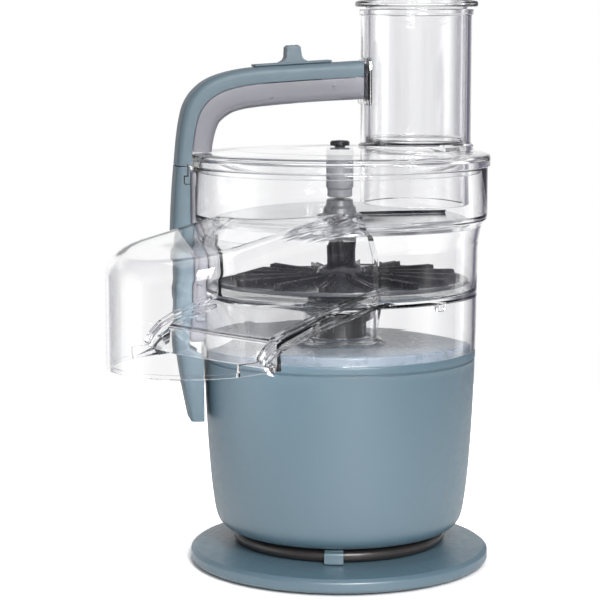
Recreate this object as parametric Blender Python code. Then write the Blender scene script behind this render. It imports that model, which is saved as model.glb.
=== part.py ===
"""Compact food processor with a direct-serve chute.

A round motor base stands on a wider plate, with its mains lead wound round the neck
between them. A clear bowl sits on the base, with a ramp and a clear hood that lead
sliced food out to the front left. Inside turn a finned slinger plate and a steel slicing
disc. A clear lid carries the feed tube, the pusher, and the arm of a handle whose lower
half belongs to the bowl. The frame is +Z up with its origin on the table, on the drive
axis. The handle is towards -X, the feed tube towards +X, and the front is -Y.

Lengths below are in millimetres and angles in degrees; meshes are made in metres.
"""

import math

import bmesh
import bpy
from mathutils import Matrix, Vector

MM = 0.001
GAP = 0.3  # clearance between neighbouring pieces
ROUND = 28  # sides of the large turned pieces
MEDIUM = 20
SMALL = 10

# Plate, neck and cord store
PLATE_R = 86.5
PLATE_TOP = 12.0
UNDERSIDE_Z = 1.2
NECK_R = 30.0
FOOT_IN, FOOT_OUT, FOOT_TOP = 67.4, 76.8, 2.3
FOOT_ANGLES = {"front_left": 225, "front_right": 315, "rear_right": 45, "rear_left": 135}
FOOT_SWEEP = 72
SCREW_R = 18.0  # pitch circle radius of the base screws
SCREW_SHANK_R, SCREW_HEAD_R = 2.0, 4.0

# Mains lead
CORD_D = 7.0
COIL_IN, COIL_OUT = 32.6, 61.6
COIL_Z = PLATE_TOP + GAP
GROMMET_HALF = 4.0
CORD_ROUTE = (
    (-6.0, 65.4, 15.9),
    (-15.0, 68.2, 15.9),
    (-23.6, 73.6, 15.2),
    (-31.2, 81.0, 12.8),
    (-37.0, 89.6, 8.4),
    (-40.0, 99.0, 4.6),
    (-38.8, 108.6, 3.6),
    (-32.4, 116.4, 3.6),
    (-22.6, 120.2, 3.6),
    (-11.4, 120.4, 4.8),
    (-0.6, 119.2, 8.4),
    (9.8, 118.2, 12.6),
    (18.8, 118.0, 14.1),
)
PLUG_TAIL = (19.1, 118.0, 14.1)

# Motor housing and deck
HOUSING_Z = 20.2
HOUSING_OPENING_R = 57.0
SEAM_Z = 125.0
SEAM_R = 78.4
WALL = 2.6
DECK_R, DECK_TOP = 74.6, 131.0

# Drive
MOTOR_X = 30.0
PINION_TEETH, GEAR_TEETH, MODULE = 10, 40, 1.2
GEAR_Z, GEAR_THICK = 100.0, 7.0
MOTOR_SHAFT_R, SPINDLE_R = 3.0, 5.0
SPINDLE_TOP = 156.0

# Bowl
BOWL_Z = SEAM_Z + 0.4
BOWL_TOP = 229.8
BOWL_UPPER_R = 84.6
FLOOR_Z = 159.5
TUBE_R = 21.5

# Chute, in its own plan axes: u runs outwards, v across it towards the front
CHUTE_ANGLE = 214.5
CHUTE_LEFT, CHUTE_RIGHT = -20.0, 69.0
CHUTE_END_U = 134.0
CHUTE_WALL = 2.0
MOUTH_Z = 131.5
ROOF_Z_AT_BOWL, ROOF_FALL = 206.0, 0.172
ROOF_FILLET = 10.0
LIP_U, LIP_Z = 112.0, 147.5
RAMP_START_U, RAMP_START_Z = 75.0, 158.6
LATCH_U, LATCH_Z = 140.0, 137.5

# Tools
SLINGER_R, SLINGER_Z = 74.0, 163.2
FIN_COUNT, FIN_TOP = 40, 172.0
DISC_R, DISC_Z, DISC_THICK = 75.0, 198.2, 1.0
HUB_TOP = 208.0

# Lid, feed tube and pusher
LID_R, LID_Z, LID_TOP = 86.0, 230.2, 241.0
TUBE_X, FEED_R, FEED_TOP, THROAT_Z = 44.3, 31.7, 318.5, 206.0
FEED_WALL = 2.3
PUSHER_R, PUSHER_FLANGE_R = 28.9, 35.2
PUSHER_Z, PUSHER_TOP = 242.0, 323.4

# Handle
HANDLE_HALF = 13.0
HANDLE_SKIN = 2.5
SPLIT_Z = 231.0
ARM_SLOPE = math.atan2(3.6, 61.2)

COLOURS = {
    "blue": ((0.20, 0.30, 0.36), 0.5, 0.0, 0.0),
    "clear": ((0.93, 0.95, 0.97), 0.08, 0.0, 0.9),
    "charcoal": ((0.03, 0.032, 0.036), 0.4, 0.0, 0.0),
    "grey": ((0.33, 0.34, 0.36), 0.45, 0.0, 0.0),
    "white": ((0.82, 0.82, 0.78), 0.5, 0.0, 0.0),
    "rubber": ((0.02, 0.02, 0.02), 0.8, 0.0, 0.0),
    "steel": ((0.62, 0.63, 0.65), 0.25, 1.0, 0.0),
    "iron": ((0.30, 0.30, 0.31), 0.55, 1.0, 0.0),
    "copper": ((0.72, 0.38, 0.22), 0.35, 1.0, 0.0),
    "brass": ((0.78, 0.62, 0.32), 0.3, 1.0, 0.0),
    "board": ((0.05, 0.22, 0.10), 0.5, 0.0, 0.0),
}


# ---------------------------------------------------------------- tools


def clear_scene():
    for obj in list(bpy.data.objects):
        bpy.data.objects.remove(obj, do_unlink=True)


def material(name):
    found = bpy.data.materials.get(name)
    if found:
        return found
    colour, roughness, metallic, transmission = COLOURS[name]
    made = bpy.data.materials.new(name)
    made.use_nodes = True
    shader = made.node_tree.nodes["Principled BSDF"]
    shader.inputs["Base Color"].default_value = (*colour, 1.0)
    shader.inputs["Roughness"].default_value = roughness
    shader.inputs["Metallic"].default_value = metallic
    shader.inputs["Transmission Weight"].default_value = transmission
    made.diffuse_color = (*colour, 1.0)
    return made


def outward(shape):
    bmesh.ops.recalc_face_normals(shape, faces=shape.faces)
    if shape.calc_volume(signed=True) < 0:
        bmesh.ops.reverse_faces(shape, faces=shape.faces)
    return shape


def revolve(outline, segments=ROUND, centre=(0.0, 0.0), start=0.0, sweep=360.0):
    """Turns a closed (radius, height) outline about a vertical line, all round or over an arc."""
    shape = bmesh.new()
    whole = sweep >= 360.0
    columns = segments if whole else segments + 1
    angles = [math.radians(start + sweep * i / segments) for i in range(columns)]
    rings = []
    for radius, height in outline:
        if radius < 1e-6:
            rings.append([shape.verts.new((*centre, height))] * columns)
            continue
        rings.append(
            [
                shape.verts.new(
                    (centre[0] + radius * math.cos(a), centre[1] + radius * math.sin(a), height)
                )
                for a in angles
            ]
        )
    for lower, upper in zip(rings, rings[1:] + rings[:1]):
        for i in range(segments):
            j = (i + 1) % columns
            corners = list(dict.fromkeys((lower[i], lower[j], upper[j], upper[i])))
            if len(corners) > 2:
                shape.faces.new(corners)
    if not whole:
        shape.faces.new([ring[0] for ring in rings])
        shape.faces.new([ring[-1] for ring in reversed(rings)])
    return outward(shape)


def cylinder(radius, low, high, centre=(0.0, 0.0), segments=MEDIUM):
    return revolve([(0, low), (radius, low), (radius, high), (0, high)], segments, centre)


def ring(inner, outer, low, high, centre=(0.0, 0.0), segments=MEDIUM):
    outline = [(inner, low), (outer, low), (outer, high), (inner, high)]
    return revolve(outline, segments, centre)


def loft(sections):
    """Joins closed sections of equal point counts, in order, and caps both ends."""
    shape = bmesh.new()
    rows = [[shape.verts.new(point) for point in section] for section in sections]
    for first, second in zip(rows, rows[1:]):
        for i in range(len(first)):
            j = (i + 1) % len(first)
            shape.faces.new((first[i], first[j], second[j], second[i]))
    shape.faces.new(rows[0])
    shape.faces.new(list(reversed(rows[-1])))
    return outward(shape)


def prism(outline, low, high):
    """A plan outline of (x, y) points raised from one height to another."""
    return loft([[(x, y, z) for x, y in outline] for z in (low, high)])


def box(x, y, z):
    return prism([(x[0], y[0]), (x[1], y[0]), (x[1], y[1]), (x[0], y[1])], *z)


def moved(shape, matrix):
    bmesh.ops.transform(shape, matrix=matrix, verts=shape.verts)
    return outward(shape)


def helper(shape):
    mesh = bpy.data.meshes.new("helper")
    shape.to_mesh(mesh)
    shape.free()
    obj = bpy.data.objects.new("helper", mesh)
    bpy.context.scene.collection.objects.link(obj)
    return obj


def boolean(shape, other, operation):
    """The shape with another one joined to it ("UNION") or cut from it ("DIFFERENCE")."""
    target, tool = helper(shape), helper(other)
    modifier = target.modifiers.new("boolean", "BOOLEAN")
    modifier.operation = operation
    modifier.object = tool
    bpy.context.view_layer.update()
    evaluated = target.evaluated_get(bpy.context.evaluated_depsgraph_get())
    result = bmesh.new()
    result.from_mesh(evaluated.to_mesh())
    evaluated.to_mesh_clear()
    for obj in (target, tool):
        bpy.data.objects.remove(obj, do_unlink=True)
    bmesh.ops.remove_doubles(result, verts=result.verts, dist=1e-4)
    bmesh.ops.dissolve_limit(
        result, angle_limit=math.radians(0.2), verts=result.verts, edges=result.edges
    )
    return result


def join(shape, *others):
    for other in others:
        shape = boolean(shape, other, "UNION")
    return shape


def cut(shape, *others):
    for other in others:
        shape = boolean(shape, other, "DIFFERENCE")
    return shape


def add(name, shape, finish, pivot=(0.0, 0.0, 0.0)):
    """Makes the object: scaled to metres, with its origin at the pivot."""
    place = Vector(pivot)
    bmesh.ops.triangulate(shape, faces=shape.faces)
    bmesh.ops.transform(
        shape, matrix=Matrix.Scale(MM, 4) @ Matrix.Translation(-place), verts=shape.verts
    )
    mesh = bpy.data.meshes.new(name)
    shape.to_mesh(mesh)
    shape.free()
    mesh.shade_smooth()
    mesh.set_sharp_from_angle(angle=math.radians(35))
    mesh.materials.append(material(finish))
    obj = bpy.data.objects.new(name, mesh)
    obj.location = place * MM
    bpy.context.scene.collection.objects.link(obj)
    return obj


def polar(radius, degrees):
    angle = math.radians(degrees)
    return radius * math.cos(angle), radius * math.sin(angle)


def arc(centre, radius, start, end, steps):
    """Points of an arc in a plane, from one angle to another."""
    return [
        (
            centre[0] + radius * math.cos(math.radians(start + (end - start) * i / steps)),
            centre[1] + radius * math.sin(math.radians(start + (end - start) * i / steps)),
        )
        for i in range(steps + 1)
    ]


def chute_frame():
    """The matrix from chute axes (u outwards, v across, z up) to the object's frame."""
    return Matrix.Rotation(math.radians(CHUTE_ANGLE), 4, "Z")


def in_chute(shape):
    return moved(shape, chute_frame())


# ---------------------------------------------------------------- plate and cord


def base_plate():
    outline = [
        (79.0, 1.6), (82.8, 1.6), (85.4, 3.0), (PLATE_R, 5.0), (PLATE_R, 6.6),
        (85.2, 8.5), (80.0, 9.9), (70.0, 11.4), (62.0, PLATE_TOP), (31.6, PLATE_TOP),
        (NECK_R, 13.4), (NECK_R, 19.8), (26.6, 19.8), (26.6, 9.4), (62.0, 9.4),
        (70.0, 8.8), (79.0, 7.2),
    ]
    half = GROMMET_HALF + GAP
    return cut(revolve(outline), box((-half, half), (24.0, 31.0), (12.3, 22.0)))


def screw_places():
    return [polar(SCREW_R, 45 + 90 * i) for i in range(4)]


def base_cover():
    shape = revolve(
        [
            (0, UNDERSIDE_Z), (FOOT_IN - 0.8, UNDERSIDE_Z), (FOOT_IN - 0.8, FOOT_TOP + GAP),
            (FOOT_OUT + 0.8, FOOT_TOP + GAP), (FOOT_OUT + 0.8, UNDERSIDE_Z),
            (78.7, UNDERSIDE_Z), (78.7, 4.2), (26.0, 4.2), (26.0, 7.0), (0, 7.0),
        ]
    )
    for place in screw_places():
        shape = cut(
            shape,
            cylinder(SCREW_HEAD_R + 0.5, 0.0, 4.4, place, SMALL),
            cylinder(SCREW_SHANK_R + GAP, 4.0, 8.0, place, SMALL),
        )
    return shape


def foot(angle):
    outline = [
        (FOOT_IN + 0.5, 0.0), (FOOT_OUT - 0.5, 0.0), (FOOT_OUT, 0.5), (FOOT_OUT, FOOT_TOP),
        (FOOT_IN, FOOT_TOP), (FOOT_IN, 0.5),
    ]
    return revolve(outline, 10, start=angle - FOOT_SWEEP / 2, sweep=FOOT_SWEEP)


def base_screw(place):
    outline = [
        (0, 2.0), (3.2, 2.0), (SCREW_HEAD_R, 2.8), (SCREW_HEAD_R, 4.1), (SCREW_SHANK_R, 4.1),
        (SCREW_SHANK_R, 18.6), (0, 19.6),
    ]
    return revolve(outline, 12, place)


def bottom_cover():
    """The floor of the motor bay, with bosses for the base screws and slots for air."""
    shape = revolve(
        [
            (0, HOUSING_Z), (56.6, HOUSING_Z), (56.6, 23.6), (60.2, 23.8), (60.2, 25.6),
            (55.0, 25.6), (55.0, 22.8), (0, 22.8),
        ]
    )
    for place in screw_places():
        shape = join(shape, cylinder(4.6, 7.5, 21.0, place, SMALL))
        shape = cut(shape, cylinder(SCREW_SHANK_R + GAP, 7.0, 20.6, place, SMALL))
    slot = prism([(34, -1.5), (50, -1.5), (50, 1.5), (34, 1.5)], 18, 30)
    for i in range(8):
        copy = slot.copy()
        shape = cut(shape, moved(copy, Matrix.Rotation(math.radians(22.5 + 45 * i), 4, "Z")))
    slot.free()
    return shape


def cord_coil():
    return ring(COIL_IN, COIL_OUT, COIL_Z, COIL_Z + CORD_D, segments=ROUND)


def smooth_route(points, steps):
    """Points of a smooth curve through the given ones."""
    ends = [2 * Vector(points[0]) - Vector(points[1])]
    ends += [Vector(p) for p in points]
    ends += [2 * Vector(points[-1]) - Vector(points[-2])]
    found = []
    for a, b, c, d in zip(ends, ends[1:], ends[2:], ends[3:]):
        for i in range(steps):
            t = i / steps
            found.append(
                0.5
                * (
                    2 * b
                    + (c - a) * t
                    + (2 * a - 5 * b + 4 * c - d) * t**2
                    + (3 * b - a - 3 * c + d) * t**3
                )
            )
    return [*found, ends[-2]]


def cord_lead():
    """The free end of the lead, from the winding to the plug on the table behind."""
    curve = bpy.data.curves.new("cord_lead", "CURVE")
    curve.dimensions = "3D"
    curve.bevel_depth = CORD_D / 2 * MM
    curve.bevel_resolution = 2
    curve.use_fill_caps = True
    route = smooth_route(CORD_ROUTE, 2)
    spline = curve.splines.new("POLY")
    spline.points.add(len(route) - 1)
    for point, place in zip(spline.points, route):
        point.co = (*(place * MM), 1.0)
    curve.materials.append(material("rubber"))
    obj = bpy.data.objects.new("cord_lead", curve)
    bpy.context.scene.collection.objects.link(obj)


def plug_frame():
    """Plug axes to the object's: the plug points along +X from the end of the lead."""
    return Matrix.Translation(Vector(PLUG_TAIL)) @ Matrix.Rotation(math.pi / 2, 4, "Y")


def plug_body():
    outline = [
        (0, 0.4), (4.6, 0.4), (5.4, 16), (9.0, 20), (11.0, 27), (14.0, 33), (14.0, 45),
        (12.6, 47), (0, 47),
    ]
    return moved(revolve(outline, MEDIUM), plug_frame())


def plug_pin(side):
    outline = [(0, 47.3), (2.4, 47.3), (2.4, 64.8), (1.2, 66.3), (0, 66.3)]
    return moved(revolve(outline, SMALL, (0.0, 9.0 * side)), plug_frame())


def cord_clip():
    """A clip that hugs the outermost turn at the front."""
    grip = [
        (COIL_OUT + GAP, 12.6), (COIL_OUT + 3.2, 12.9), (COIL_OUT + 3.2, 18.4),
        (COIL_OUT + GAP, 19.6),
    ]
    return revolve(grip, 4, start=252.5, sweep=9.0)


def strain_relief():
    """The grommet in the neck's rear wall that the lead comes out of."""
    half = GROMMET_HALF
    flange = box((-half - 1.6, half + 1.6), (23.6, 25.6), (12.6, 19.2))
    body = box((-half, half), (25.0, COIL_IN - 0.8), (12.6, 19.2))
    return join(flange, body)


# ---------------------------------------------------------------- motor base


def housing_profile(offset):
    """The side of the housing from its floor to its seam, drawn in by an offset."""
    side = [
        (61.5, 20.4), (66.0, 21.8), (69.6, 25.2), (71.6, 30.0), (73.0, 38.0), (74.4, 50.0),
        (76.0, 70.0), (77.2, 92.0), (78.1, 115.0),
    ]
    return [(radius - offset, height) for radius, height in side]


def motor_housing():
    outer = [(HOUSING_OPENING_R, HOUSING_Z)] + housing_profile(0)
    groove = [(78.3, 119.9), (77.7, 120.2), (77.7, 120.8), (SEAM_R, 121.1)]
    rim = [(SEAM_R, SEAM_Z - 0.6), (SEAM_R - 0.6, SEAM_Z), (DECK_R + 0.5, SEAM_Z)]
    inner = [(radius, height) for radius, height in reversed(housing_profile(WALL)[3:])]
    floor = [(66.4, 26.6), (62.8, 23.6), (61.0, 23.2), (HOUSING_OPENING_R, 23.2)]
    return revolve(outer + groove + rim + inner + floor)


def top_deck():
    outline = [
        (8.6, DECK_TOP - 0.4), (20.0, DECK_TOP - 0.4), (26.0, DECK_TOP - 0.2),
        (73.0, DECK_TOP - 0.4), (DECK_R, DECK_TOP - 1.8), (DECK_R, 121.0),
        (72.2, 121.0), (72.2, 128.0), (16.0, 128.0), (14.0, 127.0), (14.0, 112.6),
        (10.4, 112.6), (10.4, 125.0), (8.6, 125.0),
    ]
    return revolve(outline)


def gear_plate():
    """The plate that carries the motor's upper bearing and the spindle's lower bush."""
    ends = arc((MOTOR_X, 0), 33, -90, 90, 12) + arc((-4, 0), 24, 90, 270, 12)
    shape = prism(ends, 93.0, 96.0)
    return cut(
        shape,
        cylinder(8.3, 90, 99, (MOTOR_X, 0)),
        cylinder(7.3, 90, 99, (0, 0)),
    )


def lower_bracket():
    ends = arc((MOTOR_X, 0), 28, 0, 345, 23)
    shape = prism(ends, 27.0, 30.0)
    return cut(shape, cylinder(8.3, 20, 40, (MOTOR_X, 0)))


def motor_stator():
    """The laminated field of the motor, square outside with a round bore."""
    side = 31.0
    chamfer = 12.0
    outline = []
    for i in range(4):
        turn = Matrix.Rotation(math.radians(90 * i), 2)
        for x, y in ((side, chamfer - side), (side, side - chamfer)):
            place = turn @ Vector((x, y))
            outline.append((place.x + MOTOR_X, place.y))
    return cut(prism(outline, 50.0, 80.0), cylinder(20.6, 40, 90, (MOTOR_X, 0), ROUND))


def bearing(low, inner, outer, centre):
    return ring(inner, outer, low, low + 5.0, centre)


def brush_holder(side):
    x = (MOTOR_X + side * 9.6, MOTOR_X + side * 24.0)
    return box((min(x), max(x)), (-4.0, 4.0), (37.0, 44.0))


def rotor_core():
    """The slotted armature."""
    outline = []
    slots = 12
    for i in range(slots):
        for step, radius in ((-9, 20.0), (9, 20.0), (11, 14.0), (19, 14.0)):
            x, y = polar(radius, 360 / slots * i + step)
            outline.append((x + MOTOR_X, y))
    return cut(
        prism(outline, 51.0, 79.0), cylinder(MOTOR_SHAFT_R + GAP, 40, 90, (MOTOR_X, 0))
    )


def motor_shaft():
    return cylinder(MOTOR_SHAFT_R, 25.0, 109.0, (MOTOR_X, 0))


def commutator():
    return ring(MOTOR_SHAFT_R + GAP, 9.0, 35.0, 46.0, (MOTOR_X, 0))


def cooling_fan():
    """A disc with eight radial blades."""
    centre = (MOTOR_X, 0)
    shape = ring(MOTOR_SHAFT_R + GAP, 25.0, 84.0, 85.4, centre)
    shape = join(shape, ring(MOTOR_SHAFT_R + GAP, 7.0, 84.6, 90.0, centre))
    for i in range(8):
        blade = box((6.4, 24.0), (-0.7, 0.7), (84.9, 90.6))
        turn = Matrix.Translation((MOTOR_X, 0, 0))
        turn = turn @ Matrix.Rotation(math.radians(45 * i), 4, "Z")
        shape = join(shape, moved(blade, turn))
    return shape


def gear_outline(teeth, centre, phase):
    """A spur gear's outline, its flanks drawn straight and thinned for backlash."""
    pitch = 360 / teeth
    root = MODULE * (teeth / 2 - 1.3)
    tip = MODULE * (teeth / 2 + 0.9)
    at_root, at_tip = 0.31, 0.12  # half thickness of a tooth as a share of the pitch
    outline = []
    for i in range(teeth):
        for radius, share in ((root, -at_root), (tip, -at_tip), (tip, at_tip), (root, at_root)):
            x, y = polar(radius, phase + pitch * (i + share))
            outline.append((x + centre[0], y + centre[1]))
    return outline


def drive_gear():
    shape = prism(gear_outline(GEAR_TEETH, (0, 0), 0), GEAR_Z, GEAR_Z + GEAR_THICK)
    return cut(shape, cylinder(SPINDLE_R + GAP, 90, 120))


def motor_pinion():
    phase = 180 + 180 / PINION_TEETH
    outline = gear_outline(PINION_TEETH, (MOTOR_X, 0), phase)
    shape = prism(outline, GEAR_Z - 0.5, GEAR_Z + GEAR_THICK + 0.5)
    return cut(shape, cylinder(MOTOR_SHAFT_R + GAP, 90, 120, (MOTOR_X, 0)))


def drive_spindle():
    """A steel spindle with a six-sided top that drives the tools."""
    shape = cylinder(SPINDLE_R, 91.6, 133.0)
    hexagon = [polar(6.6, 60 * i) for i in range(6)]
    return join(shape, prism(hexagon, 131.6, SPINDLE_TOP))


def control_board():
    return box((-62.0, -14.0), (-24.0, 24.0), (30.0, 31.6))


def capacitor():
    return box((-54.0, -36.0), (-9.0, 9.0), (32.0, 46.0))


def reed_switch_board():
    return box((-73.0, -71.4), (-7.0, 7.0), (96.0, 114.0))


# ---------------------------------------------------------------- bowl and chute


def bowl_outer():
    return [
        (78.6, BOWL_Z), (79.0, 145.0), (79.2, 170.0), (79.4, 186.0), (81.4, 196.6),
        (84.2, 200.4), (BOWL_UPPER_R, 203.0), (BOWL_UPPER_R, BOWL_TOP),
    ]


def bowl_space():
    """Everything inside the bowl's wall, for trimming what joins it from outside."""
    return revolve(
        [(0, 100), (77.8, 100), (77.8, 188), (79.8, 197), (83.0, 202), (83.0, 250), (0, 250)]
    )


def beside_bowl():
    """The bowl's outside with a clearance, for trimming what stands against it."""
    grown = [(radius + 0.4, height) for radius, height in bowl_outer()]
    return revolve([(0, 60), (grown[0][0], 60), *grown[:-1], (grown[-1][0], 300), (0, 300)])


def chute_sheet(outline, low_v, high_v):
    """A (u, z) outline given a thickness across the chute."""
    return in_chute(loft([[(u, v, z) for u, z in outline] for v in (low_v, high_v)]))


def edge_curve(rise):
    """Where the ramp's side walls end and the hood's begin, as (u, z) points going outwards."""
    return [
        (30.0, RAMP_START_Z + rise), (RAMP_START_U, RAMP_START_Z + rise),
        (108.0, 151.4 + rise), (118.0, 147.6 + rise), (124.6, 142.6 + rise),
        (127.0 + rise, LATCH_Z + rise), (LATCH_U + rise, LATCH_Z + rise),
        (LATCH_U + rise, MOUTH_Z),
    ]


def chute_bowl():
    lower = [
        (82.3, BOWL_TOP), (82.3, 203.4), (81.6, 201.4), (79.2, 198.0), (77.2, 187.6),
        (76.9, 170.0), (76.8, FLOOR_Z), (TUBE_R, FLOOR_Z), (TUBE_R, FLOOR_Z + 1.4),
        (TUBE_R - 2, FLOOR_Z + 1.4), (TUBE_R - 2, DECK_TOP + 0.6), (TUBE_R + 3, DECK_TOP + 0.6),
        (TUBE_R + 3, DECK_TOP + 2), (TUBE_R, DECK_TOP + 3.4), (TUBE_R, FLOOR_Z - 2.4),
        (76.4, FLOOR_Z - 2.4), (76.1, BOWL_Z),
    ]
    shape = revolve(bowl_outer() + lower)
    ramp = [
        (20.0, RAMP_START_Z), (RAMP_START_U, RAMP_START_Z), (LIP_U, LIP_Z),
        (LIP_U + 1.6, LIP_Z - 1.6), (LIP_U + 1.6, MOUTH_Z), (LIP_U - 0.6, MOUTH_Z),
        (LIP_U - 0.6, LIP_Z - 2.4), (RAMP_START_U, RAMP_START_Z - 2.2),
        (20.0, RAMP_START_Z - 2.2),
    ]
    inner_edge = [
        (LIP_U - 0.6, MOUTH_Z), (LIP_U - 0.6, LIP_Z - 2.4),
        (RAMP_START_U, RAMP_START_Z - 2.2), (20.0, RAMP_START_Z - 2.2),
    ]
    side = [(20.0, RAMP_START_Z)] + edge_curve(0)[1:] + inner_edge
    left, right = CHUTE_LEFT, CHUTE_RIGHT
    slide = join(
        chute_sheet(ramp, left + 0.6, right - 0.6),
        chute_sheet(side, left, left + CHUTE_WALL),
        chute_sheet(side, right - CHUTE_WALL, right),
    )
    shape = join(shape, cut(slide, bowl_space()))
    outlet = [(20.0, FLOOR_Z + 0.3), (100.0, FLOOR_Z + 0.3), (100.0, 194.0), (20.0, 194.0)]
    return cut(shape, chute_sheet(outlet, left + 2.2, right - 2.2))


def hood_level(inset, drop):
    """One level of the hood: its plan drawn in by an inset, this far below the roof."""
    low_v, high_v = CHUTE_LEFT + inset, CHUTE_RIGHT - inset
    middle = ((low_v + high_v) / 2, (high_v - low_v) / 2)
    plan = [(20.0, low_v)]
    plan += [(u, v) for u, v in arc((CHUTE_END_U, middle[0]), middle[1], -90, 90, 16)]
    plan += [(20.0, high_v)]
    return [(u, v, ROOF_Z_AT_BOWL - ROOF_FALL * (u - 79.0) - drop) for u, v in plan]


def hood_block(inset, bottom):
    """The hood as a solid, drawn in by an inset, down to a flat bottom."""
    top = hood_level(inset, ROOF_FILLET + inset)
    levels = [[(u, v, bottom) for u, v, _ in top], top]
    for angle in (30, 60, 90):
        turn = math.radians(angle)
        levels.append(
            hood_level(
                inset + ROOF_FILLET * (1 - math.cos(turn)),
                inset + ROOF_FILLET * (1 - math.sin(turn)),
            )
        )
    return in_chute(loft(levels))


def chute_hood():
    shape = cut(hood_block(0.0, MOUTH_Z), hood_block(CHUTE_WALL, MOUTH_Z - 10))
    below = [(20.0, 100.0)] + [(20.0, RAMP_START_Z + 0.4)] + edge_curve(0.4)[1:-1]
    below += [(LATCH_U + 0.4, 100.0)]
    shape = cut(shape, chute_sheet(below, CHUTE_LEFT - 10, CHUTE_RIGHT + 10))
    return cut(shape, beside_bowl())


# ---------------------------------------------------------------- tools in the bowl


def tool_carrier():
    outline = [
        (7.4, 134.0), (15.5, 134.0), (15.5, 149.0), (18.4, 150.6), (18.4, 162.8),
        (11.2, 162.8), (11.2, 172.6), (8.0, 173.8), (8.0, 197.8), (4.8, 197.8), (4.8, 206.2),
        (0, 206.2), (0, 158.6), (7.4, 157.4),
    ]
    return revolve(outline, MEDIUM)


def slinger_plate():
    shape = revolve(
        [
            (11.6, SLINGER_Z), (SLINGER_R, SLINGER_Z), (SLINGER_R, SLINGER_Z + 2.2),
            (26.0, SLINGER_Z + 2.6), (17.0, 167.6), (13.8, 170.0), (13.2, FIN_TOP),
            (11.6, FIN_TOP),
        ]
    )
    fins = bmesh.new()
    for i in range(FIN_COUNT):
        outer = 69.0 if i % 2 else 64.0
        fin = loft(
            [
                [(outer, -0.7, 165.0), (outer, 0.7, 165.0), (outer, 0.7, 168.4),
                 (outer, -0.7, 168.4)],
                [(19.0, -0.6, 165.0), (19.0, 0.6, 165.0), (19.0, 0.6, 171.0),
                 (19.0, -0.6, 171.0)],
            ]
        )
        moved(fin, Matrix.Rotation(math.radians(360 / FIN_COUNT * (i + 0.5)), 4, "Z"))
        mesh = bpy.data.meshes.new("fin")
        fin.to_mesh(mesh)
        fin.free()
        fins.from_mesh(mesh)
        bpy.data.meshes.remove(mesh)
    return join(shape, fins)


def slicing_disc():
    """A thin disc with a slot under one raised cutting edge."""
    shape = ring(5.2, DISC_R, DISC_Z, DISC_Z + DISC_THICK, segments=ROUND)
    slot = prism([(14, 6.0), (64, 10.0), (64, 14.5), (14, 10.5)], DISC_Z - 5, DISC_Z + 5)
    edge = loft(
        [
            [(14, 10.0, DISC_Z + 0.2), (14, 16.0, DISC_Z + 0.2), (14, 16.0, DISC_Z + 0.9),
             (14, 9.0, DISC_Z + 2.6)],
            [(66, 14.0, DISC_Z + 0.2), (66, 20.0, DISC_Z + 0.2), (66, 20.0, DISC_Z + 0.9),
             (66, 12.6, DISC_Z + 2.6)],
        ]
    )
    return join(cut(shape, slot), edge)


def disc_hub():
    outline = [
        (5.2, DISC_Z + DISC_THICK + GAP), (10.4, DISC_Z + DISC_THICK + GAP), (9.8, 206.0),
        (8.4, HUB_TOP), (0, HUB_TOP), (0, 206.6), (5.2, 206.6),
    ]
    return revolve(outline, MEDIUM)


# ---------------------------------------------------------------- lid and pusher


def lid():
    tube = (TUBE_X, 0)
    shape = revolve(
        [
            (3.4, LID_TOP), (30.0, LID_TOP - 0.5), (60.0, LID_TOP - 1.9), (83.0, 237.6),
            (85.4, 236.8), (LID_R, 235.6), (LID_R, LID_Z), (81.6, LID_Z), (81.6, 226.4),
            (79.4, 226.4), (79.4, 233.6), (78.2, 235.2), (60.0, LID_TOP - 4.2),
            (30.0, LID_TOP - 2.8), (8.0, LID_TOP - 2.4), (8.0, 214.0), (6.2, 214.0),
            (6.2, LID_TOP - 2.4), (3.4, LID_TOP - 2.4),
        ]
    )
    shape = join(
        shape,
        revolve([(0, THROAT_Z), (FEED_R, THROAT_Z), (FEED_R, FEED_TOP), (0, FEED_TOP)],
                ROUND, tube),
    )
    shape = join(shape, box((12.6, 24.0), (-14.0, 14.0), (264.0, 290.4)))
    shape = cut(shape, cylinder(FEED_R - FEED_WALL, 190, 340, tube, ROUND))
    slant = loft(
        [
            [(60.0, y, 190.0), (90.0, y, 190.0), (90.0, y, 222.0)]
            for y in (-40.0, 40.0)
        ]
    )
    return cut(shape, slant)


def lid_post():
    outline = [
        (0, 209.4), (2.0, 209.4), (2.0, 212.0), (5.4, 212.4), (5.4, 238.2), (0, 238.2),
    ]
    return revolve(outline, MEDIUM)


def lid_cap():
    outline = [
        (0, 238.6), (3.0, 238.6), (3.0, LID_TOP + 0.3), (5.6, LID_TOP + 0.3), (5.6, 243.4),
        (4.8, 244.2), (0, 244.2),
    ]
    return revolve(outline, MEDIUM)


def pusher():
    outline = [
        (0, PUSHER_Z), (PUSHER_R - 1.6, PUSHER_Z), (PUSHER_R, PUSHER_Z + 1.6),
        (PUSHER_R, FEED_TOP + 1.2), (PUSHER_FLANGE_R - 1, FEED_TOP + 1.2),
        (PUSHER_FLANGE_R, FEED_TOP + 2.4), (PUSHER_FLANGE_R, PUSHER_TOP - 0.8),
        (PUSHER_FLANGE_R - 0.8, PUSHER_TOP), (PUSHER_R - 2.4, PUSHER_TOP),
        (PUSHER_R - 2.4, PUSHER_Z + 2.2), (0, PUSHER_Z + 2.2),
    ]
    return revolve(outline, ROUND, (TUBE_X, 0))


# ---------------------------------------------------------------- handle


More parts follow.
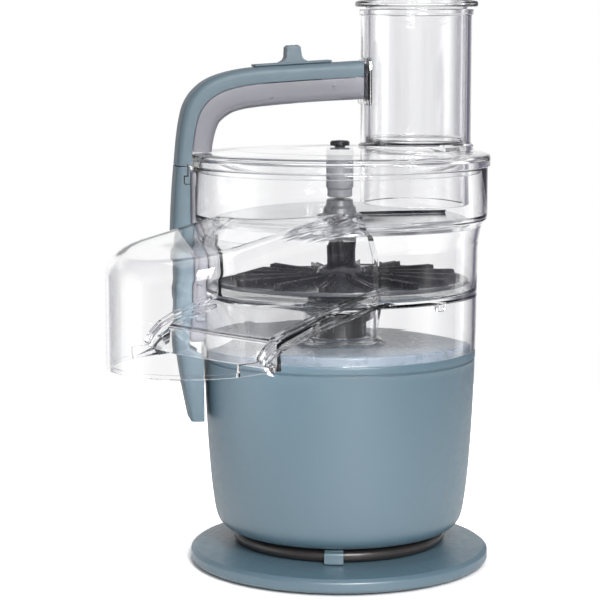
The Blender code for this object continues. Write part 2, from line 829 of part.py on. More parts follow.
def channel(outer, inner, half, skin, rounding, back_skin):
    """A U-shaped section in the plane through two points, open towards the inner one."""
    outer, inner = Vector((outer[0], 0, outer[1])), Vector((inner[0], 0, inner[1]))
    across = Vector((0, 1, 0))
    depth = (inner - outer).normalized()
    reach = (inner - outer).length

    def place(side, deep):
        return outer + across * side + depth * deep

    near = half - rounding
    bend = rounding * 0.3
    hollow = half - skin
    return [
        place(-half, reach), place(-half, rounding), place(-half + bend, bend),
        place(-near, 0.0), place(near, 0.0), place(half - bend, bend),
        place(half, rounding), place(half, reach), place(hollow, reach),
        place(hollow, rounding + 1.0), place(hollow - 1.6, back_skin),
        place(-hollow + 1.6, back_skin), place(-hollow, rounding + 1.0),
        place(-hollow, reach),
    ]


# Outer edge, and the inner edge opposite, from the feed tube round the corner and down
LID_HANDLE = (
    ((11.4, 289.4), (11.4, 267.8)),
    ((-20.0, 287.6), (-20.0, 266.2)),
    ((-50.0, 285.8), (-48.0, 263.8)),
    ((-66.0, 283.0), (-60.5, 261.6)),
    ((-77.0, 278.8), (-66.6, 258.6)),
    ((-84.6, 272.6), (-70.4, 255.2)),
    ((-89.4, 265.0), (-72.4, 251.0)),
    ((-91.8, 256.0), (-73.6, 246.4)),
    ((-93.2, 246.6), (-74.4, 242.4)),
    ((-94.0, 238.7), (-74.8, 238.7)),
)
COVER_SHARE = 0.41  # how much of the handle's thickness the cover takes


def between(outer, inner, share):
    return tuple(a + (b - a) * share for a, b in zip(outer, inner))


def lid_handle_cover():
    sections = [
        channel(outer, between(outer, inner, COVER_SHARE), HANDLE_HALF, HANDLE_SKIN, 5.0, 2.6)
        for outer, inner in LID_HANDLE
    ]
    sections.append(
        channel((-94.8, SPLIT_Z + 0.3), (-86.6, SPLIT_Z + 0.3), HANDLE_HALF, HANDLE_SKIN, 5.0, 2.6)
    )
    slot = box((-38.0, -8.0), (-3.2, 3.2), (270.0, 300.0))
    return cut(loft(sections), slot)


def lid_handle_core():
    sections = []
    for outer, inner in LID_HANDLE:
        start = between(inner, outer, 1 - COVER_SHARE - 0.014)
        sections.append(channel(inner, start, HANDLE_HALF, 2.0, 4.0, 2.2))
    shape = loft(sections)
    return cut(shape, box((-38.0, 2.0), (-6.0, 6.0), (255.0, 272.0)))


BOWL_HANDLE = (
    (-94.8, SPLIT_Z - 0.3), (-96.2, 214.0), (-97.2, 194.0), (-97.5, 170.0), (-97.0, 150.0),
    (-95.8, 134.0), (-94.2, 120.0), (-92.0, 107.0), (-89.2, 93.0), (-87.6, 85.6),
)
COVER_BACK_X = -87.4
LUG_BACK_X = -80.2


def bowl_handle_cover():
    sections = []
    for x, z in BOWL_HANDLE:
        back = COVER_BACK_X if z > SEAM_Z + 6 else LUG_BACK_X
        sections.append(channel((x, z), (back, z), HANDLE_HALF, HANDLE_SKIN, 5.0, 2.6))
    shape = loft(sections)
    toe = box((-86.0, LUG_BACK_X - 0.2), (-11.4, 11.4), (86.0, 88.6))
    return join(shape, toe)


def bowl_handle_core():
    shape = box((COVER_BACK_X + GAP, -76.0), (-12.6, 12.6), (SEAM_Z + 8.4, BOWL_TOP - 2))
    return cut(shape, beside_bowl())


def on_arm(shape):
    """Tilts a shape drawn level about the arm's top near the knob."""
    pivot = Matrix.Translation((-20.0, 0.0, 287.6))
    turn = Matrix.Rotation(-ARM_SLOPE, 4, "Y")
    return moved(shape, pivot @ turn @ pivot.inverted())


def control_slider():
    """The thumb slider: a plate on the arm, a raised knob, and a stem down into the arm."""
    plate = box((-50.0, -6.0), (-8.0, 8.0), (287.9, 289.9))
    knob = loft(
        [
            [(-36.5, y, 289.2), (-18.5, y, 289.2), (-20.5, y, 294.0), (-22.6, y * 0.9, 298.6),
             (-31.6, y * 0.9, 298.6), (-33.0, y, 294.0)]
            for y in (-7.0, 7.0)
        ]
    )
    stem = box((-34.0, -22.0), (-2.4, 2.4), (281.6, 288.6))
    return on_arm(join(plate, knob, stem))


def slider_carriage():
    return on_arm(box((-44.0, -12.0), (-6.5, 6.5), (276.8, 281.2)))


def lid_rod():
    return box((-89.8, -87.2), (-4.0, 4.0), (226.9, 250.0))


def interlock_rod():
    return box((-90.4, -88.0), (-4.0, 4.0), (118.0, 226.4))


def interlock_magnet():
    return box((-88.9, -85.9), (-3.0, 3.0), (111.4, 117.6))


# ---------------------------------------------------------------- assembly


def build_base():
    add("base_plate", base_plate(), "blue")
    add("base_cover", base_cover(), "charcoal")
    for name, angle in FOOT_ANGLES.items():
        add(f"foot_{name}", foot(angle), "rubber")
    for number, place in enumerate(screw_places(), 1):
        add(f"base_screw_{number}", base_screw(place), "steel")
    add("bottom_cover", bottom_cover(), "charcoal")
    add("cord_clip", cord_clip(), "blue")
    add("strain_relief", strain_relief(), "rubber")
    add("motor_housing", motor_housing(), "blue")
    add("top_deck", top_deck(), "blue")
    add("gear_plate", gear_plate(), "iron")
    add("lower_bracket", lower_bracket(), "iron")
    add("motor_stator", motor_stator(), "iron")
    motor = (MOTOR_X, 0)
    add("lower_bearing", bearing(26.0, MOTOR_SHAFT_R + 0.12, 8.0, motor), "steel")
    add("upper_bearing", bearing(92.0, MOTOR_SHAFT_R + 0.12, 8.0, motor), "steel")
    add("spindle_bush", bearing(92.0, SPINDLE_R + 0.12, 7.0, (0, 0)), "brass")
    add("spindle_bearing", bearing(113.0, SPINDLE_R + 0.12, 10.1, (0, 0)), "steel")
    add("brush_holder_inner", brush_holder(-1), "charcoal")
    add("brush_holder_outer", brush_holder(1), "charcoal")
    add("control_board", control_board(), "board")
    add("capacitor", capacitor(), "white")
    add("reed_switch_board", reed_switch_board(), "board")


def build_cord():
    add("cord_coil", cord_coil(), "rubber")
    cord_lead()
    add("plug_body", plug_body(), "rubber")
    add("plug_pin_left", plug_pin(-1), "steel")
    add("plug_pin_right", plug_pin(1), "steel")


def build_drive():
    motor = (MOTOR_X, 0.0, GEAR_Z)
    add("rotor_core", rotor_core(), "iron", motor)
    add("motor_shaft", motor_shaft(), "steel", motor)
    add("commutator", commutator(), "copper", motor)
    add("cooling_fan", cooling_fan(), "charcoal", motor)
    add("motor_pinion", motor_pinion(), "steel", motor)
    spindle = (0.0, 0.0, GEAR_Z)
    add("drive_gear", drive_gear(), "white", spindle)
    add("drive_spindle", drive_spindle(), "steel", spindle)


def build_bowl():
    add("chute_bowl", chute_bowl(), "clear")
    add("chute_hood", chute_hood(), "clear")
    add("bowl_handle_core", bowl_handle_core(), "clear")
    add("bowl_handle_cover", bowl_handle_cover(), "blue")
    add("interlock_rod", interlock_rod(), "white")
    add("interlock_magnet", interlock_magnet(), "iron")


def build_tools():
    axis = (0.0, 0.0, SLINGER_Z)
    add("tool_carrier", tool_carrier(), "charcoal", axis)
    add("slinger_plate", slinger_plate(), "charcoal", axis)
    add("slicing_disc", slicing_disc(), "steel", axis)
    add("disc_hub", disc_hub(), "grey", axis)


def build_lid():
    add("lid", lid(), "clear")
    add("lid_post", lid_post(), "grey")
    add("lid_cap", lid_cap(), "charcoal")
    add("lid_handle_core", lid_handle_core(), "clear")
    add("lid_handle_cover", lid_handle_cover(), "blue")
    add("control_slider", control_slider(), "blue", (-27.5, 0.0, 289.0))
    add("slider_carriage", slider_carriage(), "charcoal", (-27.5, 0.0, 279.0))
    add("lid_rod", lid_rod(), "white")
    add("pusher", pusher(), "clear", (TUBE_X, 0.0, PUSHER_Z))


clear_scene()
build_base()
build_cord()
build_drive()
build_bowl()
build_tools()
build_lid()
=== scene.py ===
"""The looks of a compact food processor with a direct-serve chute.

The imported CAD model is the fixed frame. This script makes the fine surface of each visible
piece over it, gives every piece a procedural material, lays the mains lead, and sets up a
pale studio with the camera. Lengths are in millimetres until a mesh is made; meshes and
everything handed to Blender are in metres. The handle is towards -X, the feed tube towards
+X, and the front is -Y.
"""

import math

import bmesh
import bpy
from mathutils import Matrix, Vector


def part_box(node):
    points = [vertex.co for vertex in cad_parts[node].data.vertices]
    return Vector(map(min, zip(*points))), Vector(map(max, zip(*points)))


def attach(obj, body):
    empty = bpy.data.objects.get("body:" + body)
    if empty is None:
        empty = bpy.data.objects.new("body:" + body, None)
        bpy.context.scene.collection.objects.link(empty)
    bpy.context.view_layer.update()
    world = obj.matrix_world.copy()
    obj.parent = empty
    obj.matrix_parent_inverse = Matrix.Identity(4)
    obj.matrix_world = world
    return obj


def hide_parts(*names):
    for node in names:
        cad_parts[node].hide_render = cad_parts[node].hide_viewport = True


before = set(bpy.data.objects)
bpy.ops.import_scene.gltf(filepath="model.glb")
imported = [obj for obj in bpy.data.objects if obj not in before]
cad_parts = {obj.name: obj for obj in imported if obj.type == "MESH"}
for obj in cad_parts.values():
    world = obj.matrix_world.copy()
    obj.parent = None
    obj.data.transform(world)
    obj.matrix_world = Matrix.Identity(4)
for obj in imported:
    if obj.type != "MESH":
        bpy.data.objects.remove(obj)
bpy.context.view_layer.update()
MM = 0.001
FINE = 160  # sides of the large turned pieces
MEDIUM = 72
SMALL = 36


def low(node):
    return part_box(node)[0] / MM


def high(node):
    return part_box(node)[1] / MM


# ---------------- sizes read from the frame

PLATE_R = high("base_plate").x
PLATE_Z = low("base_plate").z
NECK_TOP = high("base_plate").z
UNDERSIDE_Z = low("base_cover").z
HOUSING_Z = low("motor_housing").z
SEAM_Z = high("motor_housing").z
SEAM_R = high("motor_housing").x
DECK_R = high("top_deck").x
DECK_TOP = high("top_deck").z
COIL_R = high("cord_coil").x
COIL_Z = low("cord_coil").z
CORD_D = high("cord_coil").z - COIL_Z
BOWL_Z = low("chute_bowl").z
BOWL_R = high("chute_bowl").x
BOWL_TOP = high("chute_bowl").z
SLINGER_R = high("slinger_plate").x
SLINGER_Z = low("slinger_plate").z
DISC_R = high("slicing_disc").x
DISC_Z = low("slicing_disc").z
HUB_TOP = high("disc_hub").z
CARRIER_Z = low("tool_carrier").z
LID_R = high("lid").x
FEED_TOP = high("lid").z
TUBE_X = (high("pusher").x + low("pusher").x) / 2
PUSHER_FLANGE_R = high("pusher").x - TUBE_X
PUSHER_Z = low("pusher").z
PUSHER_TOP = high("pusher").z
MOTOR_X = (high("rotor_core").x + low("rotor_core").x) / 2
HANDLE_HALF = high("lid_handle_cover").y
FLOOR_Z = SLINGER_Z - 3.7  # the bowl's floor lies this far under the slinger plate
PLATE_TOP = COIL_Z - 0.3
NECK_R = 30.0
WALL = 2.6
FEED_R = 31.7


# ---------------- shape tools


def outward(shape):
    bmesh.ops.recalc_face_normals(shape, faces=shape.faces)
    if shape.calc_volume(signed=True) < 0:
        bmesh.ops.reverse_faces(shape, faces=shape.faces)
    return shape


def polar(radius, degrees):
    angle = math.radians(degrees)
    return radius * math.cos(angle), radius * math.sin(angle)


def soften(outline, fillet=0.5, steps=5, closed=True):
    """Rounds the corners of an outline. A point's third value is its own fillet."""
    found = []
    for i, corner in enumerate(outline):
        here = Vector(corner[:2])
        if not closed and i in (0, len(outline) - 1):
            found.append((here.x, here.y))
            continue
        before = Vector(outline[i - 1][:2]) - here
        after = Vector(outline[(i + 1) % len(outline)][:2]) - here
        radius = corner[2] if len(corner) > 2 else fillet
        if radius == 0:
            found.append((here.x, here.y))
            continue
        half = before.angle(after) / 2
        reach = min(radius / math.tan(half), before.length * 0.48, after.length * 0.48)
        start = here + before.normalized() * reach
        end = here + after.normalized() * reach
        for step in range(steps + 1):
            t = step / steps
            point = start * (1 - t) ** 2 + here * 2 * t * (1 - t) + end * t**2
            found.append((point.x, point.y))
    return found


def smooth_route(points, steps):
    """Points of a smooth curve through the given ones."""
    ends = [2 * Vector(points[0]) - Vector(points[1])]
    ends += [Vector(p) for p in points]
    ends += [2 * Vector(points[-1]) - Vector(points[-2])]
    found = []
    for a, b, c, d in zip(ends, ends[1:], ends[2:], ends[3:]):
        for i in range(steps):
            t = i / steps
            square = (2 * a - 5 * b + 4 * c - d) * t**2
            cube = (3 * b - a - 3 * c + d) * t**3
            found.append(0.5 * (2 * b + (c - a) * t + square + cube))
    return [*found, ends[-2]]


def smooth_line(points, steps=6):
    """A smooth plane curve through (a, b) points."""
    return [(p.x, p.y) for p in smooth_route([(a, b, 0) for a, b in points], steps)]


def revolve(outline, segments=FINE, centre=(0.0, 0.0), start=0.0, sweep=360.0):
    """Turns a closed (radius, height) outline about a vertical line, all round or over an arc."""
    shape = bmesh.new()
    whole = sweep >= 360.0
    columns = segments if whole else segments + 1
    angles = [math.radians(start + sweep * i / segments) for i in range(columns)]
    rings = []
    for radius, height in outline:
        if radius < 1e-6:
            rings.append([shape.verts.new((*centre, height))] * columns)
            continue
        places = [(centre[0] + radius * math.cos(a), centre[1] + radius * math.sin(a), height)
                  for a in angles]
        rings.append([shape.verts.new(place) for place in places])
    for lower, upper in zip(rings, rings[1:] + rings[:1]):
        for i in range(segments):
            j = (i + 1) % columns
            corners = list(dict.fromkeys((lower[i], lower[j], upper[j], upper[i])))
            if len(corners) > 2:
                shape.faces.new(corners)
    if not whole:
        shape.faces.new([ring[0] for ring in rings])
        shape.faces.new([ring[-1] for ring in reversed(rings)])
    return outward(shape)


def lathe(outline, segments=FINE, centre=(0.0, 0.0), steps=5, **arc):
    """Softens the corners of a (radius, height, fillet) outline and turns it."""
    return revolve(soften(outline, steps=steps), segments, centre, **arc)


def cylinder(radius, bottom, top, centre=(0.0, 0.0), segments=MEDIUM, fillet=0.0):
    outline = [(0, bottom, 0), (radius, bottom, fillet), (radius, top, fillet), (0, top, 0)]
    return lathe(outline, segments, centre)


def ring(inner, outer, bottom, top, fillet=0.3):
    outline = [(inner, bottom, fillet), (outer, bottom, fillet), (outer, top, fillet),
               (inner, top, fillet)]
    return lathe(outline, MEDIUM, steps=3)


def loft(sections):
    """Joins closed sections of equal point counts, in order, and caps both ends."""
    shape = bmesh.new()
    rows = [[shape.verts.new(point) for point in section] for section in sections]
    for first, second in zip(rows, rows[1:]):
        for i in range(len(first)):
            j = (i + 1) % len(first)
            shape.faces.new((first[i], first[j], second[j], second[i]))
    shape.faces.new(rows[0])
    shape.faces.new(list(reversed(rows[-1])))
    return outward(shape)


def prism(outline, bottom, top):
    """A plan outline of (x, y) points raised from one height to another."""
    return loft([[(x, y, z) for x, y in outline] for z in (bottom, top)])


def box(x, y, z, fillet=0.0):
    """A block between two values on each axis, with rounded edges."""
    shape = prism([(x[0], y[0]), (x[1], y[0]), (x[1], y[1]), (x[0], y[1])], *z)
    if fillet:
        bmesh.ops.bevel(
            shape, geom=shape.edges[:], offset=fillet, segments=3, affect="EDGES",
            profile=0.5, clamp_overlap=True,
        )
    return shape


def moved(shape, matrix):
    bmesh.ops.transform(shape, matrix=matrix, verts=shape.verts)
    return outward(shape)


def turned(shape, degrees, centre=(0.0, 0.0)):
    """Turns a shape about a vertical line."""
    place = Matrix.Translation((*centre, 0.0))
    turn = Matrix.Rotation(math.radians(degrees), 4, "Z")
    return moved(shape, place @ turn @ place.inverted())


def around(shape, count, first=0.0):
    """Evenly spaced copies of a shape about the vertical axis, the first one turned a little."""
    copies = [turned(shape.copy(), first + 360 / count * i) for i in range(count)]
    shape.free()
    return copies


def gathered(shapes):
    """Several separate solids in one mesh."""
    whole = bmesh.new()
    for shape in shapes:
        mesh = bpy.data.meshes.new("part")
        shape.to_mesh(mesh)
        shape.free()
        whole.from_mesh(mesh)
        bpy.data.meshes.remove(mesh)
    return whole


def linked(name, data):
    """Makes an object of some data and puts it in the scene."""
    made = bpy.data.objects.new(name, data)
    bpy.context.scene.collection.objects.link(made)
    return made


def object_of(name, shape):
    mesh = bpy.data.meshes.new(name)
    shape.to_mesh(mesh)
    shape.free()
    return linked(name, mesh)


def boolean(shape, other, operation):
    target, tool = object_of("helper", shape), object_of("helper", other)
    modifier = target.modifiers.new("boolean", "BOOLEAN")
    modifier.operation = operation
    modifier.object = tool
    bpy.context.view_layer.update()
    evaluated = target.evaluated_get(bpy.context.evaluated_depsgraph_get())
    result = bmesh.new()
    result.from_mesh(evaluated.to_mesh())
    evaluated.to_mesh_clear()
    for obj in (target, tool):
        bpy.data.objects.remove(obj, do_unlink=True)
    bmesh.ops.remove_doubles(result, verts=result.verts, dist=1e-4)
    return result


def join(shape, *others):
    for other in others:
        shape = boolean(shape, other, "UNION")
    return shape


def cut(shape, *others):
    for other in others:
        shape = boolean(shape, other, "DIFFERENCE")
    return shape


def add(name, shape, finish, body, *nodes, sharp=32):
    """Makes a piece in metres. It rides on a body and stands for the named CAD nodes."""
    bmesh.ops.transform(shape, matrix=Matrix.Scale(MM, 4), verts=shape.verts)
    piece = object_of(name, shape)
    piece.data.shade_smooth()
    piece.data.set_sharp_from_angle(angle=math.radians(sharp))
    piece.data.materials.append(FINISHES[finish])
    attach(piece, body)
    if nodes:
        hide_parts(*nodes)
    return piece


# ---------------- materials


def set_inputs(tree, made, values):
    """Gives each named input its value, or links it to the output that stands there."""
    for key, value in values.items():
        if isinstance(value, bpy.types.NodeSocket):
            tree.links.new(value, made.inputs[key])
        else:
            made.inputs[key].default_value = value


def node(tree, kind, values, **settings):
    made = tree.nodes.new("ShaderNode" + kind)
    for key, value in settings.items():
        setattr(made, key, value)
    set_inputs(tree, made, values)
    return made


def math_node(tree, operation, *values):
    return node(tree, "Math", dict(enumerate(values)), operation=operation).outputs[0]


def product(tree, first, *others):
    for other in others:
        first = math_node(tree, "MULTIPLY", first, other)
    return first


def noise(tree, coordinates, scale, detail=3.0, roughness=0.5):
    values = {"Vector": coordinates, "Scale": scale, "Detail": detail, "Roughness": roughness}
    return node(tree, "TexNoise", values).outputs["Fac"]


def between(tree, value, first, second, start=0.3, end=0.7, step="LINEAR"):
    """Goes from a first to a second number as a value goes from start to end."""
    values = {"Value": value, "From Min": start, "From Max": end, "To Min": first,
              "To Max": second}
    return node(tree, "MapRange", values, interpolation_type=step).outputs["Result"]


def smooth_range(tree, value, start, end, first, second):
    return between(tree, value, first, second, start, end, "SMOOTHSTEP")


def blend_colours(tree, value, first, second):
    values = {"Factor": value, 6: (*first, 1.0), 7: (*second, 1.0)}
    return node(tree, "Mix", values, data_type="RGBA").outputs[2]


def bump(tree, shader, height, distance, strength=1.0):
    values = {"Strength": strength, "Distance": distance, "Height": height}
    set_inputs(tree, shader, {"Normal": node(tree, "Bump", values).outputs["Normal"]})


def new_material(name, colour, roughness, metallic=0.0):
    """A material with its shader and the object's own coordinates."""
    made = bpy.data.materials.new(name)
    made.use_nodes = True
    made.diffuse_color = (*colour, 1.0)
    tree = made.node_tree
    shader = tree.nodes["Principled BSDF"]
    values = {"Base Color": (*colour, 1.0), "Roughness": roughness, "Metallic": metallic}
    set_inputs(tree, shader, values)
    return made, tree, shader, node(tree, "TexCoord", {}).outputs["Object"]


def scaled(colour, factor):
    return tuple(min(1.0, channel * factor) for channel in colour)


def plastic(name, colour, roughness, grain=2600.0, depth=0.25, spread=0.03, shine=0.5):
    """Moulded plastic: a spark-eroded grain, a slow drift in colour and uneven gloss."""
    made, tree, shader, place = new_material(name, colour, roughness)
    drift = noise(tree, place, 22.0, 2.0)
    pale, dark = scaled(colour, 1 + spread), scaled(colour, 1 - spread)
    gloss = noise(tree, place, 260.0, 4.0)
    set_inputs(tree, shader, {
        "Specular IOR Level": shine,
        "Base Color": blend_colours(tree, drift, dark, pale),
        "Roughness": between(tree, gloss, roughness - 0.05, roughness + 0.05),
    })
    bump(tree, shader, noise(tree, place, grain, 2.0), depth * 0.0001, 0.6)
    return made


def clear(name, tint, roughness=0.0015, waves=0.00001, passing=1.0):
    """Clear plastic: slow moulding waves and faint wiping marks; lamps shine through it."""
    made, tree, shader, place = new_material(name, tint, roughness)
    wiped = noise(tree, place, 90.0, 5.0, 0.6)
    set_inputs(tree, shader, {
        "Transmission Weight": passing,
        "IOR": 1.49,
        "Roughness": between(tree, wiped, roughness, roughness * 2.5),
    })
    bump(tree, shader, noise(tree, place, 28.0, 1.0), waves)
    shadow = node(tree, "LightPath", {}).outputs["Is Shadow Ray"]
    through = node(tree, "BsdfTransparent", {"Color": (*scaled(tint, 0.97), 1.0)})
    mix = node(tree, "MixShader", {0: shadow, 1: shader.outputs[0], 2: through.outputs[0]})
    set_inputs(tree, tree.nodes["Material Output"], {"Surface": mix.outputs[0]})
    return made


def turned_metal(name, colour, roughness, centre=(0.0, 0.0), rings=900.0):
    """Metal with the fine concentric marks of a lathe or a polishing wheel."""
    made, tree, shader, place = new_material(name, colour, roughness, 1.0)
    x, y, z = node(tree, "SeparateXYZ", {0: place}).outputs
    x = math_node(tree, "SUBTRACT", x, centre[0] * MM)
    y = math_node(tree, "SUBTRACT", y, centre[1] * MM)
    squares = [math_node(tree, "POWER", side, 2.0) for side in (x, y)]
    radius = math_node(tree, "SQRT", math_node(tree, "ADD", *squares))
    joined = node(tree, "CombineXYZ", {
        "X": product(tree, radius, rings),
        "Y": product(tree, math_node(tree, "ARCTAN2", y, x), 0.7),
        "Z": product(tree, z, rings * 0.5),
    })
    marks = noise(tree, joined.outputs[0], 1.0, 3.0)
    set_inputs(tree, shader, {
        "Base Color": blend_colours(tree, marks, scaled(colour, 0.93), scaled(colour, 1.05)),
        "Roughness": between(tree, marks, roughness * 0.7, roughness * 1.5),
    })
    bump(tree, shader, marks, 0.0000015)
    return made


def striped(name, colour, dark, roughness, pitch):
    """A stack of metal sheets or turns of wire: dark lines at an even pitch, in metres."""
    made, tree, shader, place = new_material(name, colour, roughness, 1.0)
    values = {"Vector": place, "Scale": math.pi / 10 / pitch, "Distortion": 0.4,
              "Detail Scale": 3.0}
    lines = node(tree, "TexWave", values, bands_direction="Z").outputs["Fac"]
    gloss = noise(tree, place, 400.0)
    set_inputs(tree, shader, {
        "Base Color": blend_colours(tree, lines, dark, colour),
        "Roughness": between(tree, gloss, roughness - 0.06, roughness + 0.08),
    })
    bump(tree, shader, lines, 0.0001)
    return made


def board(name):
    """A solder-masked board: paler tracks in a maze of cells under green lacquer."""
    green = (0.02, 0.13, 0.05)
    made, tree, shader, place = new_material(name, green, 0.35)
    cells = node(
        tree, "TexVoronoi", {"Vector": place, "Scale": 320.0}, feature="DISTANCE_TO_EDGE"
    )
    tracks = between(tree, cells.outputs["Distance"], 1.0, 0.0, 0.03, 0.06)
    set_inputs(tree, shader, {
        "Base Color": blend_colours(tree, tracks, green, (0.05, 0.26, 0.10)),
        "Roughness": between(tree, noise(tree, place, 500.0), 0.25, 0.45),
    })
    bump(tree, shader, tracks, 0.00003)
    return made


def make_materials():
    """One material for each finish, with the colours as light falls on them."""
    return {
        "blue": plastic("blue_plastic", (0.060, 0.107, 0.137), 0.40, depth=0.08, shine=1.0),
        "matte": plastic(
            "matte_blue_plastic", (0.078, 0.112, 0.134), 0.50, depth=0.08, shine=0.35
        ),
        # the deck's plastic is the body's blue made paler and greyer: painted reflection haze of
        # the clear bowl in front of it
        "deck": plastic("deck_plastic_painted_haze", (0.105, 0.130, 0.158), 0.30),
        "clear": clear("clear_plastic", (0.994, 0.994, 0.998)),
        "frosted": clear("frosted_plastic", (0.31, 0.307, 0.345), 0.24, 0.0, 0.72),
        "charcoal": plastic(
            "charcoal_plastic", (0.011, 0.011, 0.013), 0.24, depth=0.08, spread=0.12
        ),
        "grey": plastic("grey_plastic", (0.095, 0.097, 0.105), 0.34),
        "hub": plastic("hub_plastic", (0.050, 0.051, 0.056), 0.30),
        "slate": plastic("slate_plastic", (0.035, 0.036, 0.040), 0.14, depth=0.05),
        "white": plastic("white_plastic", (0.72, 0.71, 0.66), 0.42),
        "rubber": plastic("rubber", (0.016, 0.015, 0.015), 0.55, grain=1500.0, depth=0.6),
        "cord": plastic("cord_rubber", (0.020, 0.017, 0.016), 0.34, grain=900.0, depth=0.3),
        "steel": turned_metal("steel", (0.50, 0.51, 0.53), 0.14),
        "motor_steel": turned_metal("motor_steel", (0.60, 0.60, 0.61), 0.28, (MOTOR_X, 0.0)),
        "brass": turned_metal("brass", (0.78, 0.60, 0.30), 0.26),
        "pins": turned_metal("pin_steel", (0.66, 0.65, 0.62), 0.24, rings=500.0),
        "iron": striped("laminated_iron", (0.26, 0.26, 0.27), (0.08, 0.08, 0.085), 0.5, 0.0005),
        "plated": turned_metal("plated_iron", (0.46, 0.45, 0.43), 0.38, (MOTOR_X, 0.0), 300.0),
        "copper": striped("copper", (0.72, 0.36, 0.20), (0.12, 0.07, 0.05), 0.3, 0.0011),
        "board": board("circuit_board"),
    }


# ---------------- mains lead

EXIT_ANGLE = 90.0
COIL_TURNS = 4
COIL_STEP = 7.3  # how far apart the turns lie
COIL_FIRST_R = COIL_R - CORD_D / 2 - COIL_STEP * (COIL_TURNS - 1)
STEP_START, STEP_SWEEP = 340.0, 110.0  # where each turn moves out to the next, in degrees
COIL_MID_Z = COIL_Z + CORD_D / 2
SLEEVE_START, SLEEVE_SWEEP = EXIT_ANGLE - 4.0, 38.0
CORD_ROUTE = (
    (-6.0, 65.4, 15.9),
    (-15.0, 68.2, 15.9),
    (-23.6, 73.6, 15.2),
    (-31.2, 81.0, 12.8),
    (-37.0, 89.6, 8.4),
    (-40.0, 99.0, 4.6),
    (-38.8, 108.6, 3.6),
    (-32.4, 116.4, 3.6),
    (-22.6, 120.2, 3.6),
    (-11.4, 120.4, 4.8),
    (-0.6, 119.2, 8.4),
    (9.8, 118.2, 12.6),
    (18.8, 118.0, 14.1),
)
PLUG_TAIL = (19.1, 118.0, 14.1)


def coil_point(angle):
    """A point of the winding; the angle counts on from turn to turn."""
    turns, part = divmod(angle - STEP_START, 360.0)
    t = min(part / STEP_SWEEP, 1.0)
    radius = COIL_FIRST_R + COIL_STEP * (turns + t * t * (3 - 2 * t))
    turn = math.radians(angle)
    return Vector((radius * math.cos(turn), radius * math.sin(turn), COIL_MID_Z))


def make_cord():
    """The lead: wound flat round the neck, then loose behind the base to its plug."""
    per_turn = 40
    count = per_turn * COIL_TURNS
    route = [coil_point(EXIT_ANGLE + 360.0 * i / per_turn) for i in range(count)]
    route += smooth_route([route[-1], *CORD_ROUTE], 5)[1:]
    curve = bpy.data.curves.new("mains_lead", "CURVE")
    curve.dimensions = "3D"
    curve.bevel_depth = CORD_D / 2 * MM
    curve.bevel_resolution = 8
    curve.use_fill_caps = True
    spline = curve.splines.new("POLY")
    spline.points.add(len(route) - 1)
    for point, place in zip(spline.points, route):
        point.co = (*(place * MM), 1.0)
    curve.materials.append(FINISHES["cord"])
    cord = linked("mains_lead", curve)
    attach(cord, "base")
    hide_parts("cord_coil", "cord_lead")
    plug_pieces = make_plug()


def plug_frame():
    """Plug axes to the object's: the plug points along +X from the end of the lead."""
    return Matrix.Translation(Vector(PLUG_TAIL)) @ Matrix.Rotation(math.pi / 2, 4, "Y")


def make_plug():
    """A moulded two-pin plug: a ribbed tail, a waist for the fingers, and a flat face."""
    ribs = []
    for i in range(5):
        start = 1.2 + 3.1 * i
        ribs += [(4.9, start, 0.3), (4.9, start + 1.9, 0.3), (4.0, start + 2.1, 0.2),
                 (4.0, start + 2.9, 0.2)]
    outline = [(0, 0.4, 0), (4.2, 0.4, 0.3), *ribs, (5.6, 17.4, 1.5), (8.6, 20.4, 3.0),
               (10.6, 27.0, 4.0), (14.0, 33.0, 4.0), (14.0, 46.6, 1.4), (0, 46.6, 0)]
    body = moved(lathe(outline, MEDIUM), plug_frame())
    pieces = [add("plug_moulding", body, "rubber", "base", "plug_body")]
    pin = [(0, 47.3, 0), (2.4, 47.3, 0.1), (2.4, 64.0, 0.6), (1.4, 66.2, 0.6), (0, 66.2, 0)]
    for name, side in (("left", -1), ("right", 1)):
        shape = moved(lathe(pin, SMALL, (0.0, 9.0 * side)), plug_frame())
        pieces.append(add(f"plug_{name}_contact", shape, "pins", "base", f"plug_pin_{name}"))
    return pieces


def make_strain_relief():
    """A grommet in the neck whose tapered, finely ribbed sleeve follows the lead round."""
    start = high("strain_relief").y
    height = (12.6, 19.2)
    block = box((-4.0, 4.0), (start - 5.8, start), height, 0.6)
    flange = box((-5.6, 5.6), (23.6, 25.4), height, 0.5)
    sections = []
    for i in range(12):
        along = i / 11
        centre = coil_point(SLEEVE_START + SLEEVE_SWEEP * along)
        radius = CORD_D / 2 + 0.42 - 0.3 * along + (0.12 if i % 2 else 0.0)
        rise = min(radius, CORD_D / 2 + 0.4)
        away = Vector((centre.x, centre.y, 0)).normalized()
        turns = [math.tau * k / SMALL for k in range(SMALL)]
        sections.append(
            [centre + away * radius * math.cos(turn) + Vector((0, 0, 1)) * rise * math.sin(turn)
             for turn in turns]
        )
    shape = join(block, flange, loft(sections))
    add("strain_relief_sleeve", shape, "rubber", "base", "strain_relief")


# ---------------- plate and feet

FOOT_ANGLES = {"front_left": 225, "front_right": 315, "rear_right": 45, "rear_left": 135}
FOOT_SWEEP = 69.0  # degrees, as all angles here
SCREW_PLACES = [polar(18.0, 45 + 90 * i) for i in range(4)]
CLIP_START, CLIP_SWEEP = 252.3, 9.4


